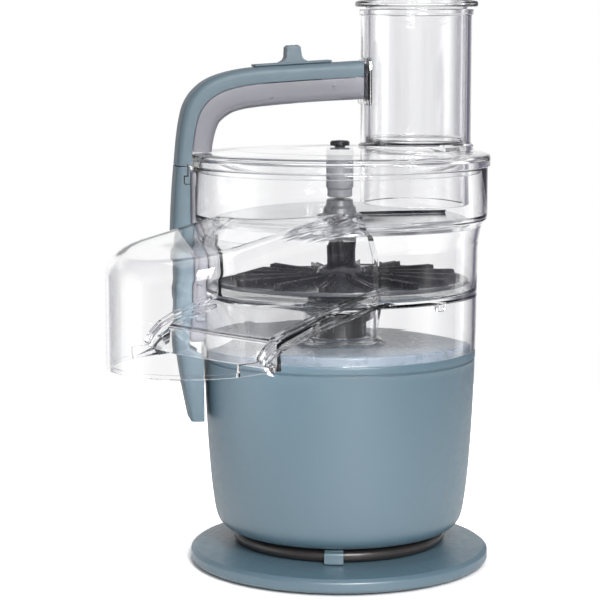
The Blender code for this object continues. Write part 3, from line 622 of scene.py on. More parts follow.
def make_plate():
    """The round plate with a low dome and a neck, open behind for the strain relief."""
    edge = PLATE_R
    shape = lathe([
        (edge - 7.5, PLATE_Z, 0.2), (edge - 1.4, PLATE_Z, 0.5), (edge, PLATE_Z + 1.4, 1.0),
        (edge, 7.6, 1.5), (edge - 2.4, 9.3, 1.2), (70.0, 11.3, 8.0), (62.0, PLATE_TOP, 6.0),
        (NECK_R + 1.8, PLATE_TOP, 1.4), (NECK_R, PLATE_TOP + 1.8, 1.4), (NECK_R, NECK_TOP, 0.5),
        (NECK_R - 3.4, NECK_TOP, 0.5), (NECK_R - 3.4, 9.4, 0.5), (62.0, 9.4, 2.0),
        (edge - 14.5, 8.8, 1.0), (edge - 7.5, 7.2, 0.5),
    ])
    slot = box((-4.3, 4.3), (24.0, NECK_R + 1.4), (PLATE_TOP + 0.3, NECK_TOP + 2), 0.4)
    add("plate_shell", cut(shape, slot), "blue", "base", "base_plate")


def make_underside():
    """The cover under the plate: a moulded ring of ribs, and a counterbore for each screw."""
    bottom = UNDERSIDE_Z
    groove = [(66.6, bottom, 0.3), (66.6, 2.6, 0.3), (77.6, 2.6, 0.3), (77.6, bottom, 0.3)]
    steps = [(30.0, bottom, 0.3), (30.0, bottom + 0.8, 0.3), (58.0, bottom + 0.8, 0.3),
             (58.0, bottom, 0.3)]
    outline = [(0, bottom, 0), *steps, *groove, (78.7, bottom, 0.3), (78.7, 4.2, 0.3),
               (26.0, 4.2, 0.2), (26.0, 7.0, 0.3), (0, 7.0, 0)]
    ribs = around(box((31.0, 57.6), (-0.7, 0.7), (bottom + 0.02, 3.0), 0.2), 8, 22.5)
    shape = join(lathe(outline, 120), *ribs)
    for place in SCREW_PLACES:
        head = cylinder(4.5, 0.0, 4.4, place, SMALL)
        shape = cut(shape, head, cylinder(2.3, 4.0, 8.0, place, SMALL))
    add("underside_cover", shape, "charcoal", "base", "base_cover")


def make_feet():
    """Rubber feet: arcs with flat ends and three fine grip lines underneath."""
    for name, angle in FOOT_ANGLES.items():
        node_name = f"foot_{name}"
        top = high(node_name).z
        lines = []
        for radius in (69.8, 72.1, 74.4):
            lines += [(radius - 0.5, 0.0, 0.1), (radius - 0.2, 0.5, 0.1),
                      (radius + 0.2, 0.5, 0.1), (radius + 0.5, 0.0, 0.1)]
        outline = [(67.4, 0.0, 0.5), *lines, (76.8, 0.0, 0.5), (76.8, top, 0.2), (67.4, top, 0.2)]
        start = angle - FOOT_SWEEP / 2
        shape = lathe(outline, 40, steps=3, start=start, sweep=FOOT_SWEEP)
        add(f"{node_name}_pad", shape, "rubber", "base", node_name)


def screw_outline():
    threads = []
    for i in range(13):
        z = 6.0 + i
        threads += [(1.5, z, 0.05), (2.0, z + 0.4, 0.05), (1.5, z + 0.8, 0.05)]
    return [(0, 2.0, 0), (3.0, 2.0, 1.2), (4.0, 2.9, 0.6), (4.0, 4.1, 0.2), (1.7, 4.1, 0.2),
            *threads, (1.4, 19.0, 0.2), (0, 19.5, 0)]


def make_screws():
    """Pan-head screws with a cross recess."""
    for count, (x, y) in enumerate(SCREW_PLACES, 1):
        bars = [turned(box((x - 2.0, x + 2.0), (y - 0.45, y + 0.45), (1.0, 3.4)), turn, (x, y))
                for turn in (10, 100)]
        shape = cut(lathe(screw_outline(), SMALL, (x, y), steps=3), *bars)
        add(f"base_screw_{count}_cross_head", shape, "steel", "base", f"base_screw_{count}")


def make_cord_clip():
    """A small clip round the outermost turn, standing on the plate."""
    inner, outer = COIL_R + 0.3, COIL_R + 3.2
    grip = [(inner, 12.35, 0.3), (outer + 0.4, 12.35, 0.5), (outer, 15.4, 0.8), (outer, 18.2, 1.2),
            (inner + 0.6, 19.6, 0.6), (inner, 19.6, 0.3)]
    lip = [(inner - 5.0, 19.45, 0.1), (inner + 1.2, 19.45, 0.1), (inner + 0.8, 20.0, 0.2),
           (inner - 5.0, 20.0, 0.1)]
    shape = join(*[lathe(outline, 16, start=CLIP_START, sweep=CLIP_SWEEP)
                   for outline in (grip, lip)])
    add("lead_clip", shape, "blue", "base", "cord_clip")


# ---------------- motor housing and deck


def housing_side():
    """The side of the housing, a soft turn at the floor and a slow flare up to the seam."""
    rise = HOUSING_Z + 0.2
    points = [
        (61.5, rise), (66.0, rise + 1.4), (69.6, rise + 4.8), (71.6, rise + 9.6),
        (73.0, rise + 17.6), (74.4, rise + 29.6), (76.0, rise + 49.6), (77.2, rise + 71.6),
        (SEAM_R - 0.3, SEAM_Z - 10.0),
    ]
    return smooth_line(points)


def make_housing():
    """The housing's shell, with the dark groove under its seam."""
    side = housing_side()
    groove = soften(
        [(SEAM_R - 0.15, SEAM_Z - 5.4, 0.3), (SEAM_R - 0.9, SEAM_Z - 5.1, 0.15),
         (SEAM_R - 0.9, SEAM_Z - 4.3, 0.15), (SEAM_R, SEAM_Z - 4.0, 0.3),
         (SEAM_R, SEAM_Z, 0.7), (DECK_R + 0.5, SEAM_Z, 0.3), (DECK_R + 0.5, SEAM_Z - 9, 0.5),
         (SEAM_R - 3.0, SEAM_Z - 12, 0.5)]
    )
    inner = [(radius - WALL, height + 0.4) for radius, height in reversed(side[12:])]
    floor = [(66.4, 26.6), (62.8, 23.8), (61.0, 23.4), (57.0, 23.4), (57.0, HOUSING_Z)]
    add("housing_shell", revolve(side + groove + inner + floor), "blue", "base", "motor_housing")


def make_deck():
    """The deck the bowl stands on: a crisp rim, a drip ring and the spindle's boss."""
    top = DECK_TOP - 0.4
    shape = lathe([
        (8.6, top, 0.4), (11.4, top, 0.4), (11.4, DECK_TOP, 0.3), (13.0, DECK_TOP, 0.3),
        (13.4, top, 0.5), (25.4, top, 0.4), (25.8, top - 0.7, 0.3), (27.0, top - 0.7, 0.3),
        (27.4, top, 0.4), (69.0, top + 0.1, 3.0), (DECK_R - 1.0, top, 0.5),
        (DECK_R, top - 0.9, 0.6), (DECK_R, SEAM_Z - 4, 0.4), (DECK_R - 2.4, SEAM_Z - 4, 0.4),
        (DECK_R - 2.4, DECK_TOP - 3, 0.6), (16.0, DECK_TOP - 3, 0.6), (14.0, DECK_TOP - 4, 0.5),
        (14.0, 112.6, 0.5), (10.4, 112.6, 0.3), (10.4, 125.0, 0.3), (8.6, 125.0, 0.3),
    ])
    # the deck finish carries painted reflection haze: its blue is made paler and greyer
    add("deck_moulding", shape, "deck", "base", "top_deck")


def make_spindle():
    """The steel spindle and its six-sided head, with softened edges and a domed end."""
    foot = low("drive_spindle").z
    top = high("drive_spindle").z
    rod = cylinder(5.0, foot, DECK_TOP + 2, fillet=0.4)
    hexagon = [(*polar(6.6, 60 * i), 0.8) for i in range(6)]
    head = prism(soften(hexagon, steps=3), DECK_TOP + 0.6, top)
    dome = lathe([(0, DECK_TOP - 2, 0), (6.7, DECK_TOP - 2, 0), (6.7, top - 2.0, 1.0),
                  (5.0, top, 1.2), (0, top, 0)], MEDIUM)
    shape = join(rod, boolean(head, dome, "INTERSECT"))
    add("spindle_steel", shape, "steel", "output", "drive_spindle")


# ---------------- bowl and chute

CHUTE_ANGLE = 214.5
CHUTE_LEFT, CHUTE_RIGHT = -20.0, 69.0
CHUTE_END_U = 134.0
CHUTE_WALL = 2.0
BEAD = 1.7  # how tall the raised lines along the chute's joint are
ROOF_Z_AT_BOWL, ROOF_FALL = 206.0, 0.172
ROOF_FILLET = 10.0
MOUTH_Z = DECK_TOP + 0.5
RAMP_Z = FLOOR_Z - 0.9
LIP_U, LIP_Z = 112.0, 147.5
LATCH_U, LATCH_Z = 140.0, 137.5
TUBE_R = 21.5
CLEARANCE = 0.4


def bowl_outer():
    """The bowl's outside, from its foot up to the rim, with a soft flare under the rim."""
    return [
        (78.6, BOWL_Z, 0.6), (79.0, 145.0, 8.0), (79.2, 170.0, 8.0), (79.4, 186.0, 6.0),
        (81.4, 196.6, 4.0), (84.2, 200.4, 1.6), (BOWL_R, 203.0, 1.6), (BOWL_R, BOWL_TOP, 0.9),
    ]


def bowl_space():
    """Everything inside the bowl's wall, for trimming what joins it from outside."""
    return revolve(
        [(0, 100), (77.8, 100), (77.8, 188), (79.8, 197), (83.0, 202), (83.0, 250), (0, 250)]
    )


def beside_bowl():
    """The bowl's outside with a clearance, for trimming what stands against it."""
    grown = [(point[0] + CLEARANCE, *point[1:]) for point in bowl_outer()]
    outline = [(0, 60, 0), (grown[0][0], 60, 0), *grown[1:-1], (grown[-1][0], 300, 0), (0, 300, 0)]
    return lathe(outline)


def in_chute(shape):
    """Turns a shape drawn along the chute, u outwards as X and v across as Y, into place."""
    return moved(shape, Matrix.Rotation(math.radians(CHUTE_ANGLE), 4, "Z"))


def chute_sheet(outline, low_v, high_v):
    """A (u, z) outline given a thickness across the chute."""
    return in_chute(loft([[(u, v, z) for u, z in outline] for v in (low_v, high_v)]))


def edge_curve(rise):
    """Where the ramp's side walls end and the hood's begin, as (u, z, fillet) going outwards."""
    return [
        (30.0, RAMP_Z + 9.2 + rise, 0), (75.0, RAMP_Z + 0.8 + rise, 20.0),
        (108.0, 151.4 + rise, 12.0), (118.0, 147.6 + rise, 6.0), (124.6, 142.6 + rise, 4.0),
        (127.0 + rise, LATCH_Z + rise, 2.5), (LATCH_U + rise, LATCH_Z + rise, 0.6),
        (LATCH_U + rise, MOUTH_Z, 0.3),
    ]


def beads(rise, left_reach, right_reach):
    """A raised line on each side of the chute, along the joint between the ramp and the hood."""
    upper = soften(edge_curve(rise + BEAD)[:-2], closed=False)
    lower = soften(edge_curve(rise)[:-2], closed=False)
    outline = upper + lower[::-1]
    return (
        chute_sheet(outline, CHUTE_LEFT - left_reach, CHUTE_LEFT + 1.0),
        chute_sheet(outline, CHUTE_RIGHT - 1.0, CHUTE_RIGHT + right_reach),
    )


def make_bowl():
    """The bowl with its floor, its centre tube, and the ramp that leads out of its side."""
    lower = [
        (82.3, BOWL_TOP, 0.9), (82.3, 203.4, 1.6), (81.6, 201.4, 1.2), (79.2, 198.0, 3.0),
        (77.2, 187.6, 5.0), (76.9, 170.0, 5.0), (76.8, FLOOR_Z, 2.4), (TUBE_R, FLOOR_Z, 0.8),
        (TUBE_R, FLOOR_Z + 1.4, 0.4), (TUBE_R - 1.2, FLOOR_Z + 1.4, 0.4),
        (TUBE_R - 1.2, DECK_TOP + 0.6, 0.3), (TUBE_R + 3, DECK_TOP + 0.6, 0.5),
        (TUBE_R + 3, DECK_TOP + 2, 0.7), (TUBE_R, DECK_TOP + 3.4, 1.2),
        (TUBE_R, FLOOR_Z - 2.4, 1.2), (76.4, FLOOR_Z - 2.4, 1.2), (76.1, BOWL_Z, 0.6),
    ]
    under = [
        (LIP_U - 0.6, MOUTH_Z, 0.5), (LIP_U - 0.6, LIP_Z - 2.4, 1.0), (75.0, RAMP_Z - 2.2, 20.0),
        (20.0, RAMP_Z - 2.2, 0),
    ]
    ramp = soften(
        [(20.0, RAMP_Z, 0), (75.0, RAMP_Z, 20.0), (LIP_U, LIP_Z, 1.4),
         (LIP_U + 1.6, LIP_Z - 1.6, 0.8), (LIP_U + 1.6, MOUTH_Z, 0.5), *under]
    )
    side = soften([*edge_curve(0), *under])
    left, right = CHUTE_LEFT, CHUTE_RIGHT
    slide = join(
        chute_sheet(ramp, left + 0.6, right - 0.6),
        chute_sheet(side, left, left + CHUTE_WALL),
        chute_sheet(side, right - CHUTE_WALL, right),
        *beads(-7.8, 3.0, 3.2),
        *beads(-1.7, 2.4, 2.6),
    )
    shape = join(lathe(bowl_outer() + lower), cut(slide, bowl_space()))
    outlet = [(20.0, FLOOR_Z + 0.3), (100.0, FLOOR_Z + 0.3), (100.0, 194.0), (20.0, 194.0)]
    shape = cut(shape, chute_sheet(outlet, left + 2.2, right - 2.2))
    nub = box((-2.6, 2.6), (-75.4, -71.0), (FLOOR_Z - 7.0, FLOOR_Z - 2.0), 0.7)
    add("bowl_moulding", join(shape, turned(nub, 38)), "clear", "bowl", "chute_bowl")


def hood_level(inset, drop, back=20.0):
    """One level of the hood: its plan drawn in by an inset, this far below the roof."""
    low_v, high_v = CHUTE_LEFT + inset, CHUTE_RIGHT - inset
    middle, radius = (low_v + high_v) / 2, (high_v - low_v) / 2
    plan = [(back, low_v)]
    for i in range(49):
        turn = math.radians(-90 + 180 * i / 48)
        plan.append((CHUTE_END_U + radius * math.cos(turn), middle + radius * math.sin(turn)))
    plan.append((back, high_v))
    return [(u, v, ROOF_Z_AT_BOWL - ROOF_FALL * (u - 79.0) - drop) for u, v in plan]


def hood_block(inset, bottom):
    """The hood as a solid, drawn in by an inset, down to a flat bottom."""
    top = hood_level(inset, ROOF_FILLET + inset)
    levels = [[(u, v, bottom) for u, v, _ in top], top]
    for step in range(1, 9):
        turn = math.radians(90 * step / 8)
        levels.append(
            hood_level(
                inset + ROOF_FILLET * (1 - math.cos(turn)),
                inset + ROOF_FILLET * (1 - math.sin(turn)),
            )
        )
    return in_chute(loft(levels))


def make_hood():
    """The clear hood over the ramp, with a thicker rim round its mouth."""
    hollow = hood_block(CHUTE_WALL, MOUTH_Z - 10)
    plan = hood_level(0.02, 0.0, back=60.0)
    rim = loft([[(u, v, z) for u, v, _ in plan] for z in (MOUTH_Z - 0.02, MOUTH_Z + 2)])
    rim = cut(in_chute(rim), hood_block(CHUTE_WALL + 0.9, MOUTH_Z - 10))
    shape = join(cut(hood_block(0.0, MOUTH_Z), hollow), rim, *beads(0.5, 2.4, 2.6))
    below = soften([
        (20.0, 100.0, 0), *edge_curve(CLEARANCE)[:-1], (LATCH_U + CLEARANCE, 100.0, 0),
    ])
    shape = cut(shape, chute_sheet(below, CHUTE_LEFT - 10, CHUTE_RIGHT + 10), beside_bowl())
    add("hood_moulding", shape, "clear", "hood", "chute_hood")


# ---------------- handle

LID_HANDLE = (
    ((11.4, 289.4), (11.4, 267.8)),
    ((-20.0, 287.6), (-20.0, 266.2)),
    ((-50.0, 285.8), (-48.0, 263.8)),
    ((-66.0, 283.0), (-60.5, 261.6)),
    ((-77.0, 278.8), (-66.6, 258.6)),
    ((-84.6, 272.6), (-70.4, 255.2)),
    ((-89.4, 265.0), (-72.4, 251.0)),
    ((-91.8, 256.0), (-73.6, 246.4)),
    ((-93.2, 246.6), (-74.4, 242.4)),
    ((-94.0, 238.7), (-74.8, 238.7)),
)
COVER_SHARE = 0.41  # how much of the handle's thickness the cover takes
SKIN = (2.5, 6.5, 2.6)  # the cover's side wall, corner rounding and back wall
GRIP = (2.0, 4.6, 2.2)
SPLIT_Z = BOWL_TOP + 1.2
BOWL_HANDLE = (
    (-94.8, SPLIT_Z - 0.3), (-96.2, 214.0), (-97.2, 194.0), (-97.5, 170.0), (-97.0, 150.0),
    (-95.8, 134.0), (-94.2, 120.0), (-92.0, 107.0), (-89.2, 93.0), (-87.6, 85.6),
)
COVER_BACK_X = -87.4
LUG_BACK_X = -80.2
ARM_SLOPE = math.atan2(3.6, 61.2)
CATCH_LINES = (  # the stepped joint line of the catch, as ranges of x and z
    ((-89.1, -88.4), (225.8, 232.0)),
    ((-91.2, -88.4), (225.2, 225.9)),
    ((-91.2, -90.5), (221.2, 225.3)),
    ((-90.6, -87.8), (220.6, 221.3)),
)


def on_arm(shape):
    """Tilts a shape drawn level about the arm's top near the knob."""
    pivot = Matrix.Translation((-20.0, 0.0, 287.6))
    turn = Matrix.Rotation(-ARM_SLOPE, 4, "Y")
    return moved(shape, pivot @ turn @ pivot.inverted())


def channel(outer, inner, skin, rounding, back_skin):
    """A U-shaped section with soft corners in the plane through two points, open inwards."""
    outer, inner = Vector((outer[0], 0, outer[1])), Vector((inner[0], 0, inner[1]))
    depth = (inner - outer).normalized()
    reach = (inner - outer).length
    half = HANDLE_HALF
    rounding = min(rounding, reach * 0.9)
    hollow = half - skin
    corners = [
        (-half, reach, 0.5), (-half, 0.0, rounding), (half, 0.0, rounding), (half, reach, 0.5),
        (hollow, reach, 0.5), (hollow, back_skin, rounding - 2.0),
        (-hollow, back_skin, rounding - 2.0), (-hollow, reach, 0.5),
    ]
    return [
        outer + Vector((0, side, 0)) + depth * deep for side, deep in soften(corners, steps=6)
    ]


def part_way(outer, inner, share):
    return tuple(a + (b - a) * share for a, b in zip(outer, inner))


def make_lid_handle():
    """The upper handle: a blue skin outside, a frosted grip inside, and the slider's guide."""
    pairs = list(zip(*[smooth_line(line, 5) for line in zip(*LID_HANDLE)]))
    sections = [channel(outer, part_way(outer, inner, COVER_SHARE), *SKIN)
                for outer, inner in pairs]
    sections.append(channel((-94.7, SPLIT_Z + 0.3), (-86.6, SPLIT_Z + 0.3), *SKIN))
    slot = box((-38.0, -8.0), (-3.2, 3.2), (270.0, 300.0), 0.6)
    seat = on_arm(box((-50.6, -5.4), (-8.6, 8.6), (287.2, 295.0), 1.2))
    shape = cut(loft(sections), slot, seat)
    add("lid_handle_skin", shape, "matte", "lid", "lid_handle_cover")
    sections = []
    for outer, inner in pairs:
        start = part_way(inner, outer, 1 - COVER_SHARE - 0.014)
        sections.append(channel(inner, start, *GRIP))
    opening = box((-38.0, 2.0), (-6.0, 6.0), (255.0, 272.0), 1.6)
    add("lid_handle_grip", cut(loft(sections), opening), "frosted", "lid", "lid_handle_core")
    rail = on_arm(box((-36.0, -9.0), (-3.6, 3.6), (272.2, 274.8), 0.5))
    post = on_arm(box((-27.0, -20.0), (-2.6, 2.6), (274.4, 276.4), 0.3))
    add("slider_guide", join(rail, post), "charcoal", "lid")
    bar = box((15.5, 18.9), (-6.9, 6.9), (267.1, 287.3), 0.7)
    add("saddle_bar", bar, "charcoal", "lid")


def catch_lines(reach):
    """The catch's fine joint line on both flanks, this far in and out of the surface."""
    return [box(x, (side - reach, side + reach), z)
            for side in (-HANDLE_HALF, HANDLE_HALF) for x, z in CATCH_LINES]


def make_bowl_handle():
    """The lower handle: a blue skin with a lug over the seam, and a frosted web behind it."""
    sections = []
    for x, z in smooth_line(BOWL_HANDLE, 5):
        back = COVER_BACK_X if z > SEAM_Z + 6 else LUG_BACK_X
        sections.append(channel((x, z), (back, z), *SKIN))
    toe = box((-86.2, LUG_BACK_X - 0.2), (-11.6, 11.6), (85.9, 88.8), 0.8)
    shape = join(loft(sections), toe)
    add("bowl_handle_skin", cut(shape, *catch_lines(1.0)), "matte", "bowl", "bowl_handle_cover")
    add("catch_seam", gathered(catch_lines(0.03)), "charcoal", "bowl")
    web = box((COVER_BACK_X + 0.3, -76.0), (-12.4, 12.4), (SEAM_Z + 8.4, BOWL_TOP - 2), 1.6)
    panels = [box((COVER_BACK_X + 2.6, -70.0), y, (SEAM_Z + 14, BOWL_TOP - 9), 1.6)
              for y in ((-20.0, -9.6), (9.6, 20.0))]
    shape = cut(web, beside_bowl(), *panels)
    add("bowl_handle_web", shape, "frosted", "bowl", "bowl_handle_core")


def make_slider():
    """The thumb slider: a thin plate on the arm with a flared, ribbed knob, and a stem."""
    plate = box((-50.0, -6.0), (-8.0, 8.0), (287.8, 289.2), 0.5)
    foot = 288.6
    side = soften(
        [(-36.4, foot, 0), (-31.6, 291.0, 3.6), (-31.0, 298.4, 1.6), (-23.2, 298.4, 1.6),
         (-22.6, 291.0, 3.6), (-18.2, foot, 0)]
    )
    knob = loft(
        [[(x, y * (1.0 - 0.012 * (z - foot)), z) for x, z in side]
         for y in (-7.0, -6.7, -6.2, 6.2, 6.7, 7.0)]
    )
    bmesh.ops.bevel(
        knob, geom=[e for e in knob.edges if e.calc_face_angle(0) > 1.0], offset=0.5, segments=2,
        affect="EDGES", clamp_overlap=True,
    )
    ribs = [box((x - 0.45, x + 0.45), (-5.0, 5.0), (297.6, 298.7), 0.2)
            for x in (-29.6, -27.1, -24.6)]
    stem = box((-34.0, -22.0), (-2.4, 2.4), (281.6, foot), 0.3)
    shape = on_arm(join(plate, knob, stem, *ribs))
    add("thumb_slider", shape, "matte", "slider", "control_slider")


# ---------------- lid and pusher


def make_lid():
    """The lid with its rim, its feed tube and throat, and the saddle for the handle's arm."""
    top = lathe([
        (3.4, 241.0, 0.4), (30.0, 240.5, 20.0), (60.0, 239.1, 20.0), (82.4, 237.6, 2.0),
        (85.2, 236.9, 1.4), (LID_R, 235.6, 0.9), (LID_R, 230.2, 0.8), (81.6, 230.2, 0.5),
        (81.6, 226.4, 0.8), (79.4, 226.4, 0.8), (79.4, 233.6, 1.2), (78.2, 235.2, 1.5),
        (60.0, 236.8, 20.0), (30.0, 238.2, 20.0), (3.4, 238.6, 0.4),
    ])
    tube = (TUBE_X, 0)
    outer = [
        (0, 206.0, 0), (FEED_R, 206.0, 0.8), (FEED_R, FEED_TOP - 3.4, 0.6),
        (FEED_R + 0.9, FEED_TOP - 2.8, 0.5), (FEED_R + 0.9, FEED_TOP, 0.7), (0, FEED_TOP, 0),
    ]
    inner = [
        (0, 190, 0), (FEED_R - 2.3, 190, 0), (FEED_R - 2.3, FEED_TOP - 0.8, 0.3),
        (FEED_R - 1.5, FEED_TOP + 0.02, 0.3), (FEED_R - 1.5, 340, 0), (0, 340, 0),
    ]
    collar = [(FEED_R - 1.0, 238.6, 0.3), (FEED_R + 1.5, 238.6, 0.3), (FEED_R + 1.5, 241.6, 0.9),
              (FEED_R - 1.0, 243.2, 0.3)]
    pocket = box((15.0, 19.4), (-7.4, 7.4), (266.6, 287.8), 0.8)
    saddle = cut(box((12.6, 24.0), (-13.8, 13.8), (264.2, 290.2), 1.6), pocket)
    shape = join(top, lathe(outer, 120, tube), lathe(collar, 120, tube), saddle)
    slant = loft(
        [[(60.0, y, 190.0), (90.0, y, 190.0), (90.0, y, 222.0)] for y in (-40.0, 40.0)]
    )
    add("lid_moulding", cut(shape, lathe(inner, 120, tube), slant), "clear", "lid", "lid")


def make_lid_centre():
    """The grey post under the lid that steadies the disc's hub, and the cap over it."""
    post = [
        (0, 209.4, 0), (7.2, 209.4, 0.8), (7.2, 213.4, 0.4), (7.9, 214.0, 0.4),
        (7.9, 220.6, 0.3), (7.5, 221.0, 0.2), (7.5, 222.2, 0.2), (7.9, 222.6, 0.3),
        (7.9, 237.2, 0.6), (0, 237.6, 0),
    ]
    add("centre_post", lathe(post, MEDIUM), "grey", "lid", "lid_post")
    cap = [
        (0, 238.6, 0), (3.0, 238.6, 0.3), (3.0, 241.3, 0.2), (5.6, 241.3, 0.4),
        (5.6, 243.2, 0.5), (4.9, 244.1, 0.8), (3.2, 244.2, 0.4), (2.9, 243.8, 0.2),
        (0, 243.8, 0),
    ]
    add("centre_cap", lathe(cap, MEDIUM), "charcoal", "lid", "lid_cap")


def make_pusher():
    """A thin clear cup with a round-edged flange."""
    flange = PUSHER_FLANGE_R
    outline = [
        (0, PUSHER_Z, 0), (27.3, PUSHER_Z, 1.6), (28.9, PUSHER_Z + 1.6, 1.6),
        (28.9, FEED_TOP + 1.2, 0.8), (flange, FEED_TOP + 1.2, 2.2), (flange, PUSHER_TOP, 2.2),
        (26.5, PUSHER_TOP, 2.4), (26.5, PUSHER_Z + 2.2, 2.2), (0, PUSHER_Z + 2.2, 0),
    ]
    add("pusher_cup", lathe(outline, FINE, (TUBE_X, 0)), "clear", "pusher", "pusher")


# ---------------- tools in the bowl

FINS = 16


def make_carrier():
    """The carrier under the tools: a fluted skirt, a collar, gussets and the tall shaft."""
    outline = [
        (7.4, CARRIER_Z, 0.4), (15.5, CARRIER_Z, 0.8), (15.5, 142.0, 1.0), (19.3, 144.0, 1.0),
        (19.3, 162.8, 0.6), (11.2, 162.8, 0.3), (11.2, 172.6, 0.6), (8.0, 174.6, 1.2),
        (6.9, 176.4, 1.0), (6.9, 197.8, 0.4), (4.8, 197.8, 0.3), (4.8, 206.2, 0.6),
        (0, 206.2, 0), (0, 158.6, 0), (7.4, 157.4, 0.5),
    ]
    collar = ring(6.8, 8.7, 192.4, 197.2, fillet=0.4)
    gussets = around(box((6.4, 8.7), (-1.1, 1.1), (174.4, 196.8), 0.5), 8, 10)
    flutes = around(box((18.8, 19.7), (-0.7, 0.7), (145.0, 162.2), 0.3), 16, 5)
    shape = join(lathe(outline, 96), collar, *gussets, *flutes)
    add("carrier_moulding", shape, "charcoal", "tools", "tool_carrier")


def fin():
    """A low straight rib along the plate, wider towards its square outer end, with a gutter."""
    base, top = SLINGER_Z + 1.6, SLINGER_Z + 5.3
    rows = []
    for x, half, rise in (
        (12.6, 0.9, 1.2), (30.0, 1.2, 0.5), (68.6, 2.0, 0.0), (69.2, 1.8, -0.4),
    ):
        wall = half * 0.36
        rows.append(
            [
                (x, -half, base), (x, half, base), (x, half, top + rise - 0.3),
                (x, half - 0.2, top + rise), (x, half - wall, top + rise),
                (x, half - wall - 0.1, top + rise - 0.9), (x, wall + 0.1 - half, top + rise - 0.9),
                (x, wall - half, top + rise), (x, 0.2 - half, top + rise),
                (x, -half, top + rise - 0.3),
            ]
        )
    return loft(rows)


def make_slinger():
    """The plate that sweeps slices out of the bowl, and its low straight fins."""
    plate = lathe([
        (11.6, SLINGER_Z, 0.3), (SLINGER_R, SLINGER_Z, 0.6), (SLINGER_R, SLINGER_Z + 2.4, 0.9),
        (SLINGER_R - 3.0, SLINGER_Z + 2.4, 0.6), (SLINGER_R - 3.8, SLINGER_Z + 1.9, 0.4),
        (26.0, SLINGER_Z + 2.3, 6.0), (17.0, 167.6, 3.0), (13.8, 170.0, 2.0),
        (13.2, 172.0, 0.5), (11.6, 172.0, 0.4),
    ])
    add("slinger_moulding", plate, "slate", "tools", "slinger_plate", sharp=25)
    add("slinger_fins", gathered(around(fin(), FINS, 3.7)), "charcoal", "tools", sharp=25)


def make_disc():
    """The slicing disc: a pressed rim, a slot and one raised, bevelled blade, with its hub."""
    top = DISC_Z + 1.0
    rim = [
        (5.2, DISC_Z, 0.1), (70.6, DISC_Z, 0.5), (71.8, DISC_Z - 0.5, 0.6),
        (DISC_R, DISC_Z - 0.5, 0.2), (DISC_R, top - 0.5, 0.2), (72.2, top - 0.5, 0.6),
        (71.0, top, 0.5), (5.2, top, 0.1),
    ]
    slot = prism(
        soften([(14, 5.6, 1), (65, 9.6, 1), (65, 14.5, 1), (14, 10.5, 1)]), DISC_Z - 5, DISC_Z + 5
    )
    blade = []
    for i in range(17):
        t = i / 16
        x = 13.5 + 53.0 * t
        back = 15.6 + 4.4 * t
        tip = 8.6 + 3.8 * t
        blade.append(
            [
                (x, tip, DISC_Z + 2.5), (x, tip + 0.2, DISC_Z + 2.62),
                (x, tip + 1.8, DISC_Z + 2.55), (x, back - 2.0, top + 0.55), (x, back, top + 0.02),
                (x, back, DISC_Z + 0.2), (x, back - 2.2, DISC_Z + 0.2),
                (x, tip + 2.2, DISC_Z + 1.7),
            ]
        )
    shape = join(cut(lathe(rim, steps=3), slot), loft(blade))
    add("disc_steel", shape, "steel", "tools", "slicing_disc")
    boss = [
        (5.2, top + 0.3, 0.2), (13.0, top + 0.3, 0.5), (13.0, top + 1.4, 0.6),
        (9.6, top + 2.2, 1.0), (9.2, 204.0, 0.8), (7.9, 205.4, 0.8), (7.6, HUB_TOP, 0.8),
        (3.0, HUB_TOP, 0.4), (3.0, 206.8, 0.2), (0, 206.8, 0), (0, 206.6, 0), (5.2, 206.6, 0.2),
    ]
    add("disc_boss", lathe(boss, MEDIUM), "hub", "tools", "disc_hub")


# ---------------- inner pieces

ARMATURE_SLOTS = 12


def motor_place(shape):
    return moved(shape, Matrix.Translation((MOTOR_X, 0.0, 0.0)))


def make_bearings():
    """Ball bearings: two races, a shield a little below them, and a narrow gap; and the bush."""
    for node_name, outer, inner, x in (
        ("lower_bearing", 8.0, 3.12, MOTOR_X),
        ("upper_bearing", 8.0, 3.12, MOTOR_X),
        ("spindle_bearing", 10.1, 5.12, 0.0),
    ):
        bottom, top = low(node_name).z, high(node_name).z
        step = (outer - inner) / 4
        outline = [
            (inner, bottom, 0.3), (inner + step, bottom, 0.15),
            (inner + step, bottom + 0.4, 0.1), (outer - step, bottom + 0.4, 0.1),
            (outer - step, bottom, 0.15), (outer, bottom, 0.4), (outer, top, 0.4),
            (outer - step, top, 0.15), (outer - step, top - 0.4, 0.1),
            (inner + step, top - 0.4, 0.1), (inner + step, top, 0.15), (inner, top, 0.3),
        ]
        shape = lathe(outline, MEDIUM, (x, 0.0), steps=3)
        add(f"{node_name}_races", shape, "steel", "base", node_name)
    bottom, top = low("spindle_bush").z, high("spindle_bush").z
    add("bush_sleeve", ring(5.12, 7.0, bottom, top), "brass", "base", "spindle_bush")


